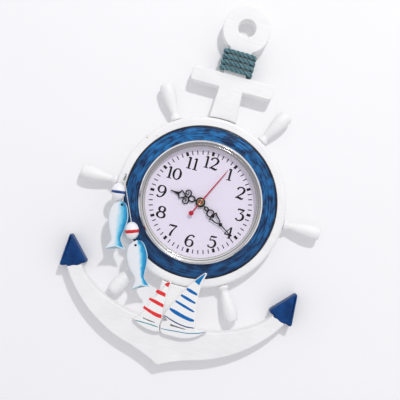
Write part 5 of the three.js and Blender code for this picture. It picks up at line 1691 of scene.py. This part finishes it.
HUB = Loop(0.0, 3.0, 3.0, 1.4, 64, 0.2)
HANDS = (
    Hand(
        "hour_hand_pierced", "hour_hand", Body.HOUR, BLACK_LACQUER, 277.4, 13.6,
        loops=(HUB, Loop(8.3, 2.9, 2.5)),
        bars=(
            ((4.0, 0, 0.8), (5.0, 0, 0.6), (5.9, 0, 0.5)),
            ((11.0, 0, 0.7), (12.6, 0, 0.6), (14.4, 0, 0.7)),
            ((20.2, 0, 0.6), (21.4, 0, 1.35), (22.8, 0, 1.1), (25.2, 0, 0.62), (28.5, 0, 0.48)),
        ),
        pairs=(
            ((10.9, 2.2, 0.5), (10.2, 3.6, 0.5), (11.1, 5.5, 0.5), (13.3, 6.2, 0.5), (15.2, 4.7, 0.5),
             (15.0, 2.7, 0.5), (13.3, 2.2, 0.48), (12.3, 3.4, 0.4), (13.1, 4.3, 0.35)),
            ((13.9, 0.1, 0.6), (15.9, 1.7, 0.52), (17.5, 2.8, 0.5), (19.1, 4.0, 0.3)),
            ((19.1, 4.0, 0.3), (19.6, 2.3, 0.6), (20.7, 0.9, 0.75), (22.2, 0.1, 0.6)),
        ),
    ),
    Hand(
        "minute_hand_pierced", "minute_hand", Body.MINUTE, BLACK_LACQUER, 123.1, 14.5,
        loops=(HUB, Loop(7.9, 2.0, 1.4), Loop(13.2, 3.1, 3.05)),
        bars=(
            ((3.7, 0, 0.7), (4.7, 0, 0.55), (5.7, 0, 0.45)),
            ((14.6, 0, 0.8), (15.6, 0, 2.0), (16.8, 0, 1.5), (18.1, 0, 0.4)),
            ((24.6, 0, 0.5), (25.6, 0, 1.3), (26.5, 0, 1.8), (27.4, 0, 1.3), (28.4, 0, 0.5)),
            ((27.6, 0, 0.6), (30.5, 0, 0.5), (35, 0, 0.48), (40.3, 0, 0.4)),
        ),
        pairs=(
            ((15.6, 0.7, 0.6), (16.2, 2.4, 0.6), (16.4, 4.4, 0.35)),
            ((16.4, 4.4, 0.35), (17.7, 3.3, 0.58), (19.8, 2.6, 0.6), (22.2, 2.1, 0.56), (24.0, 1.3, 0.55),
             (25.4, 0.2, 0.5)),
        ),
    ),
    Hand(
        "second_hand_needle", "second_hand", Body.SECOND, RED_LACQUER, 25.9, 16.1,
        loops=(
            Loop(0.0, 0.725, 0.725, 0.721375, 40, 0.2, proud=0.05),
            Loop(-12.6, 1.1, 1.1, 1.0945, 40, 0.2, proud=0.05),
        ),
        bars=(
            ((-11.0, 0, 0.56), (-6, 0, 0.56), (0, 0, 0.66), (8, 0, 0.6), (24, 0, 0.5), (37.2, 0, 0.3)),
        ),
    ),
)


@dataclass
class ArborFittings:
    """The brass boss of the second hand, and the brass nut that holds the hands."""

    boss_back: float = 16.15
    nut_back: float = 14.95
    nut_front: float = 15.75
    nut_radius: float = 3.1

    def boss(self) -> None:
        """Turns the boss, a low button with a bore."""
        section = [(1.5, 0), (3.0, 0), (3.05, 0.45), (2.7, 0.7), (1.9, 0.65), (1.5, 0.5)]
        corners = np.array(section) + (0, self.boss_back)
        boss = lathe("second_hand_boss", eased(corners, 0.12, steps=4), segments=64, closed=True)
        dress(boss, BRASS, body=Body.SECOND)

    def nut(self) -> None:
        """Turns the nut, with a milled waist and a small bore."""
        low, high, radius = self.nut_back, self.nut_front, self.nut_radius
        corners = np.array([
            (1.05, low), (radius, low), (radius, low + 0.25), (radius - 0.25, low + 0.4),
            (radius, low + 0.55), (radius - 0.2, high), (1.9, high), (1.6, high - 0.2), (1.05, high - 0.2),
        ])
        nut = lathe("hand_fixing_nut", eased(corners, 0.06, steps=3), segments=64, closed=True)
        dress(nut, BRASS, "hand_nut", body=Body.MINUTE)

    def build(self) -> None:
        """Makes the boss and the nut."""
        self.boss()
        self.nut()


# The pendants


@dataclass
class Pendant:
    """A fish on a string: a loop on the screw eye, a painted float and the fish, cut from thin board."""

    number: int
    float_at: tuple
    float_lean: float
    nose: tuple
    lean: float
    side: int
    body: Body
    ring: FloatPaint
    skin: FishPaint
    eye_dot: tuple
    girth: tuple = (1.0, 1.0)
    girth_at: tuple = (0.6, 0.9)
    eye_at: tuple = (-69.4, 1.8)
    eye_height: float = 22.3
    spread: float = 0.6
    loop_radius: float = 1.35
    string_radius: float = 0.45
    string_lay: float = 2.6
    float_radius: float = 6.2
    float_half: float = 7.7
    float_bore: float = 0.95
    bore_share: float = 0.8
    mouth_depth: float = 0.6
    entry: float = 3.2
    thickness: float = 4.5
    dot_radius: float = 1.1
    dot_height: float = 0.35
    back_edge: tuple = (
        (0, 0), (4, -1), (6.7, -5), (8.2, -11), (8.4, -16), (7.2, -22), (5, -28.5), (3.9, -33), (5.5, -36.8),
        (8.8, -42),
    )
    fork: float = -40.2
    belly_edge: tuple = (
        (0, 0), (-5.2, -2.5), (-8.1, -6.3), (-9.6, -12), (-9.6, -17.5), (-8, -24.4), (-5.5, -30.2),
        (-4.3, -33.4), (-4.8, -36.8), (-8.2, -43),
    )
    edge_steps: int = 14
    nose_thinning: tuple = (0.03, 0.01)
    tail_thinning: tuple = (0.02, 0.04)
    flatness: float = 0.4
    fish_rows: int = 150
    fish_columns: int = 96

    @property
    def height(self) -> float:
        """Height of the string off the wall."""
        return self.eye_height + self.side * self.spread

    @property
    def down(self) -> np.ndarray:
        """Direction of the float's axis, downwards, in the front view."""
        angle = np.radians(self.float_lean)
        return np.array([np.sin(angle), -np.cos(angle)])

    def string_line(self) -> np.ndarray:
        """Corners of the string's fall: the loop's edge, the float's top and middle, and the fish.

        Returns:
            The four points.
        """
        middle = np.array(self.float_at)
        top = middle - self.float_half * self.down
        away = top - np.array(self.eye_at)
        start = np.array(self.eye_at) + self.loop_radius * away / np.linalg.norm(away)
        return np.stack([start, top, middle, middle + (self.float_half + self.entry) * self.down])

    def twine(self, name: str, line: np.ndarray) -> tuple[Object, np.ndarray]:
        """Lays two-ply twine along a front-view line.

        Args:
            name: Name of the piece, without its number.
            line: Points of the line.

        Returns:
            The object, and the points in metres.
        """
        path = place(line[:, 0], line[:, 1], self.height)
        radius, lay = self.string_radius * MM, self.string_lay * MM
        return twisted(f"{name}_{self.number}", path, OUTWARD, radius, 2, lay, columns=16), path

    def string(self) -> tuple[Object, np.ndarray]:
        """Makes the string along its fall, and returns it with the points that it follows."""
        string, path = self.twine("twine", evenly(self.string_line(), 0.4))
        return dress(string, TWINE_YARN, f"string_{self.number}", body=self.body), path

    def knot(self) -> Object:
        """Ties the loop about the eye's wire: a closed ring of the same twine."""
        line = arc(self.loop_radius, 0, 353, 60, self.eye_at)
        return dress(self.twine("twine_loop", np.vstack([line, line[:1]]))[0], TWINE_YARN, body=self.body)

    def float(self) -> Object:
        """Turns the egg-shaped float: radius = r cos t, along = l sin t, with eased mouths at its bore.

        Returns:
            The float.
        """
        mouth = np.arccos(self.float_bore / self.float_radius)
        turn = np.linspace(-mouth, mouth, 60)
        egg = np.stack([self.float_radius * np.cos(turn), self.float_half * np.sin(turn)], -1)
        narrow, end = self.float_bore * self.bore_share, egg[-1, 1] - self.mouth_depth
        profile = np.vstack([egg, [(narrow, end), (narrow, -end)]])
        origin = place(*self.float_at, self.height)
        axis = (self.down[0], 0.0, self.down[1])
        piece = lathe(f"painted_float_{self.number}", profile, tuple(origin), axis, segments=72, closed=True)
        return dress(piece, self.ring, f"float_{self.number}", body=self.body)

    def fish(self) -> Object:
        """Shapes the fish on a grid: V from nose to tail, and round each section from belly to back.

        A section is a flat oval: across = -cos a, and off the middle plane by |sin a|^flatness of half the
        thickness, which thins at the nose and at the tail's edge. The tail ends on a shallow fork.

        Returns:
            The fish.
        """
        back, belly = through(self.back_edge, self.edge_steps), through(self.belly_edge, self.edge_steps)
        share = 0.5 - 0.5 * np.cos(np.linspace(0, np.pi, self.fish_rows))
        angle = np.linspace(0, FULL_TURN, self.fish_columns, endpoint=False)
        across = -np.cos(angle)
        ends = np.interp(across, [-1, 0, 1], [belly[-1, 1], self.fork, back[-1, 1]])
        fall = share[:, None] * ends[None]
        left = np.interp(-share * belly[-1, 1], -belly[:, 1], belly[:, 0])
        right = np.interp(-share * back[-1, 1], -back[:, 1], back[:, 0])
        reach = (across + 1) / 2
        girth = np.interp(share, self.girth_at, self.girth)
        x = right[:, None] - (girth * (right - left))[:, None] * (1 - reach)
        thin = np.ones_like(share)
        for way, (length, blunt) in ((share, self.nose_thinning), (1 - share, self.tail_thinning)):
            thin *= np.minimum(1, np.sqrt(way / length + blunt))
        swell = np.sign(np.sin(angle)) * np.abs(np.sin(angle)) ** self.flatness
        height = self.height + self.thickness / 2 * thin[:, None] * swell[None]
        turn = np.radians(self.lean)
        front_x = self.nose[0] + x * np.cos(turn) - fall * np.sin(turn)
        front_z = self.nose[1] + x * np.sin(turn) + fall * np.cos(turn)
        points = place(front_x, front_z, height)
        columns = np.append(reach, reach[0])
        piece = surface(f"wooden_fish_{self.number}", points, False, True, Cap.FLAT, share, columns)
        return dress(piece, self.skin, f"fish_{self.number}", body=self.body)

    def eye(self) -> Object:
        """Dots the eye on both faces, as a low drop of black paint.

        Returns:
            Both dots as one piece.
        """
        parts = []
        for face in (1, -1):
            origin = place(*self.eye_dot, self.height + face * (self.thickness / 2 - SUNK))
            turn = np.linspace(0, np.pi / 2, 8)
            dome = np.stack([self.dot_radius * np.cos(turn), SUNK + self.dot_height * np.sin(turn)], -1)
            profile = np.vstack([[[0, 0], [self.dot_radius, 0]], dome])
            profile[-1, 0] = 0
            parts.append(lathe(f"fish_eye_{self.number}_{face}", profile, tuple(origin), (0, -face, 0), 32))
        with bpy.context.temp_override(active_object=parts[0], selected_editable_objects=parts):
            bpy.ops.object.join()
        parts[0].name = f"fish_eyes_{self.number}"
        return dress(parts[0], EYE_BLACK, body=self.body)

    def build(self) -> None:
        """Makes the pendant, and measures the fall of its string."""
        string, path = self.string()
        others = [self.knot(), self.float(), self.fish(), self.eye()]
        length = float(np.linalg.norm(np.diff(path, axis=0), axis=1).sum())
        if length >= LEAST_CORD:
            tuple(path[0])


PENDANTS = (
    Pendant(
        1, (-71.8, -9.5), 6.6, (-68.0, -17.0), 8.8, 1, Body.PENDANT_1, NAVY_RING, SOFT_FISH,
        (-65.6, -19.7), girth=(0.93, 1.06),
    ),
    Pendant(
        2, (-51.5, -39.4), 19.5, (-45.4, -46.4), 19.7, -1, Body.PENDANT_2, RED_RING, CRISP_FISH,
        (-45.1, -50.8),
    ),
)


@dataclass
class ScrewEye:
    """A zinc-plated screw eye driven into the wheel's rim, its ring edge-on to the front."""

    x: float = -69.4
    z: float = 4.4
    height: float = 22.3
    ring: float = 2.6
    wire: float = 0.6
    tip: float = 8.6

    def build(self) -> None:
        """Bends the wire: a straight shank, a short neck and a ring that nearly closes."""
        angle = np.radians(np.linspace(-80, 235, 60))
        ring = np.stack([self.z + self.ring * np.cos(angle), self.height + self.ring * np.sin(angle)], -1)
        low = self.height - self.ring
        shank = np.array([(self.z, self.tip), (self.z, low - 0.7), (self.z, low)])
        line = evenly(np.vstack([eased(np.vstack([shank, ring[:2]]), 0.6, closed=False), ring[1:]]), 0.3)
        path = place(np.full(len(line), self.x), line[:, 0], line[:, 1])
        reach = self.wire * MM * np.interp(line[:, 1], [self.tip, self.tip + 1.5], [0.3, 1.0])
        angle = np.linspace(0, FULL_TURN, 16, endpoint=False)[None]
        eye = swept("screw_eye_wire", path, (1, 0, 0), angle, reach[:, None], self.wire * MM)
        dress(eye, STEEL, "screw_eye")


# The sailing boats


@dataclass(frozen=True)
class Stripe:
    """A patch of paint on a sail, between two lines that both run from left to right, about the waterline."""

    finish: Finish
    upper: tuple
    lower: tuple

    def outline(self) -> np.ndarray:
        """Outline of the patch: smooth sides and blunt, slightly rounded ends."""
        sides = [through(side, 6) for side in (self.upper, self.lower)]
        return eased(np.vstack([sides[0], sides[1][::-1]]), 0.3, steps=3)


@dataclass(frozen=True)
class Line:
    """A brushed line: x, z and half width at each point, about the waterline."""

    finish: Finish
    points: tuple


@dataclass
class Boat:
    """A boat cut from thin board: hull and sail in one, a slit under the boom, and brushed stripes."""

    number: int
    peak: tuple
    edge_line: tuple
    slit: tuple
    stripes: tuple
    lines: tuple
    waterline: tuple = (-0.8, -120.3)
    back: float = 15.3
    front: float = 20.5
    edge: float = 1.1
    slit_edge: float = 0.5
    film: float = 0.14

    def outline(self) -> np.ndarray:
        """Outline from the peak round the hull and back, each side straight or one quadratic curve.

        Returns:
            The outline.
        """
        spot = self.peak
        pieces = [np.array([spot])]
        for side in self.edge_line:
            if len(side) > 2:
                pieces.append(bend(spot, side[:2], side[2:], 40)[1:])
            else:
                pieces.append(np.array([side]))
            spot = side[-2:]
        return np.vstack(pieces) + self.waterline

    def patch(self, number: int, stripe: Stripe) -> None:
        """Lays one patch as a thin film of paint.

        Args:
            number: Its number, from 1.
            stripe: The patch.
        """
        outline = stripe.outline() + self.waterline
        name = f"sail_stripe_{self.number}_{number}"
        film = cut_out(name, [outline], self.front - SUNK, self.front + self.film, 0.12)
        dress(film, stripe.finish)

    def brushed(self, number: int, line: Line) -> None:
        """Lays one line of paint, whose width changes a little as the brush was pressed.

        Args:
            number: Its number, from 1.
            line: The line.
        """
        points = through(line.points, 10)
        half = points[:, 2] * (1 + 0.08 * np.sin(2.3 * np.arange(len(points)) + self.number))
        low, high = self.front - SUNK, self.front + self.film
        part = stroke(points[:, :2] + self.waterline, half, low, high, crown=0.7)
        dress(join_strokes(f"brushed_line_{self.number}_{number}", [part]), line.finish)

    def build(self) -> None:
        """Makes the board, the patches on its sail and the lines along its hull."""
        slit = eased(np.array(self.slit, float) + self.waterline, 0.3, steps=3)
        outlines = [self.outline(), slit]
        board = cut_out(
            f"sailing_boat_{self.number}", outlines, self.back, self.front, self.edge, self.slit_edge
        )
        dress(board, WHITE_PAINT, f"boat_{self.number}")
        for number, stripe in enumerate(self.stripes):
            self.patch(number + 1, stripe)
        for number, line in enumerate(self.lines):
            self.brushed(number + 1, line)


BOATS = (
    Boat(
        1,
        peak=(-7.3, 46.4),
        edge_line=(
            (-17.5, 28.4, -24.6, 12), (-25.4, 9.2), (-30, 6.8), (-21, -0.2, -9, 0), (-4.6, 1), (-6.1, 6.8),
            (-5.6, 12.8), (-7.6, 30.4, -5.4, 46.2),
        ),
        slit=((-21.8, 9.8), (-16.9, 8.9), (-10.2, 8.0), (-10.4, 7.5), (-16.6, 7.8), (-21.6, 8.6)),
        stripes=(
            Stripe(RED_PAINT, ((-10.9, 42.8), (-9.5, 44.4), (-7.8, 45.3), (-6.4, 45.4)),
                   ((-10.7, 42.4), (-9.6, 41.9), (-8.3, 41.4), (-7.1, 40.9))),
            Stripe(RED_PAINT, ((-16.0, 36.7), (-11.9, 36.2), (-7.7, 35.1)),
                   ((-17.0, 34.1), (-12.9, 32.9), (-7.5, 32.0))),
            Stripe(RED_PAINT, ((-20.3, 28.1), (-14.1, 27.2), (-7.0, 25.4)),
                   ((-21.1, 26.2), (-14.7, 24.2), (-6.8, 22.5))),
            Stripe(RED_PAINT, ((-23.4, 19.8), (-21.7, 19.3), (-16.1, 17.6), (-10.6, 16.5), (-6.4, 16.1)),
                   ((-24.0, 17.7), (-21.9, 16.9), (-15.7, 14.6), (-10.7, 13.2), (-6.1, 12.9))),
        ),
        lines=(
            Line(DECK_TEAL, ((-27.6, 5.6, 0.3), (-23.0, 5.6, 0.5), (-18.8, 5.5, 0.45), (-13.6, 5.4, 0.5),
                             (-8.9, 5.1, 0.45), (-6.6, 4.9, 0.25))),
        ),
    ),
    Boat(
        2,
        peak=(21, 61.5),
        edge_line=(
            (7.5, 47.9, -4.6, 16.6), (-0.6, 12.4), (-4.7, 10.2), (-5.4, 7.2), (-4.4, 3.0),
            (-3.6, 0.2, 1.5, -0.1), (7.1, 0), (25, -1.1, 36.1, 12.9), (28.4, 11), (25.6, 12.2),
            (17, 40.4, 22.9, 61.2),
        ),
        slit=((2.9, 10.4), (8.0, 9.8), (14.6, 9.4), (18.4, 9.0), (14.9, 8.5), (10.2, 8.6), (3.3, 8.3)),
        stripes=(
            Stripe(PEAK_BLUE, ((13.9, 51.8), (15.2, 53.9), (17.3, 56.6), (19.4, 59.1), (20.8, 60.7)),
                   ((18.6, 49.7), (19.3, 53.3), (20.1, 56.1), (20.9, 58.5), (21.4, 60.2))),
            Stripe(STRIPE_BLUE, ((8.9, 44.8), (12.3, 44.5), (19.1, 42.2)),
                   ((8.7, 43.1), (13.2, 41.3), (19.3, 40.3))),
            Stripe(STRIPE_BLUE, ((5.6, 38.3), (12.2, 36.8), (19.6, 34.3)),
                   ((5.1, 36.5), (11.9, 34.2), (19.6, 32.8))),
            Stripe(STRIPE_BLUE, ((2.3, 31.9), (10.9, 29.7), (20.6, 26.6)),
                   ((1.9, 30.3), (9.6, 27.7), (17.6, 25.7), (20.6, 25.5))),
            Stripe(STRIPE_BLUE, ((-0.9, 24.2), (5.3, 23.0), (13.3, 20.8), (22.3, 19.2)),
                   ((-1.3, 22.6), (3.2, 20.3), (11.3, 18.1), (19.0, 17.0), (22.4, 17.6))),
        ),
        lines=(
            Line(NAVY_LINE, ((-3.8, 16.3, 0.3), (2.1, 14.2, 0.54), (9.1, 12.4, 0.54), (16.8, 11.5, 0.54),
                             (21.4, 11.9, 0.5), (24.2, 12.2, 0.35))),
            Line(DECK_BLUE, ((-4.0, 4.4, 0.3), (2.4, 4.7, 0.42), (11.0, 5.5, 0.42), (18.3, 6.1, 0.42),
                             (24.9, 7.6, 0.42), (30.4, 9.5, 0.42), (33.8, 11.2, 0.25))),
        ),
    ),
)


# What stays as it was cut: pegs, hanger, cup and movement

PLAIN_FINISHES = {
    BEECH: ("dowel_",),
    STEEL: ("keyhole_plate", "plate_screw_", "contact_", "battery", "stator"),
    SILVER: ("insert_cup",),
    RUBBER: ("cup_gasket",),
    WHITE_PLASTIC: ("spacer_ring", "hour_wheel", "minute_wheel", "cannon_pinion", "second_wheel",
                    "third_wheel", "centre_wheel", "intermediate_wheel"),
    BLACK_PLASTIC: ("movement_", "set_knob", "rotor"),
    COPPER: ("drive_coil",),
    BOARD_GREEN: ("circuit_board",),
}


def dress_hardware() -> None:
    """Gives each CAD node that is kept its own finish in place of the plain one."""
    for finish, starts in PLAIN_FINISHES.items():
        for name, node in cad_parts.items():
            if name.startswith(starts):
                node.data.materials.clear()
                node.data.materials.append(finish.material())
                log.info("%s keeps its shape, %s", name, finish.name)


def main() -> None:
    """Builds the clock, piece by piece."""
    logging.basicConfig(level=logging.INFO, format="%(message)s")
    Studio().build()
    for pendant in PENDANTS:
        pendant.build()
    RopeWinding().build()
    Anchor().build()
    ShipsWheel().build()
    ClockFace().build()
    for hand in HANDS:
        hand.build()
    ArborFittings().build()
    ScrewEye().build()
    for boat in BOATS:
        boat.build()
    dress_hardware()


if __name__ == "__main__":
    main()
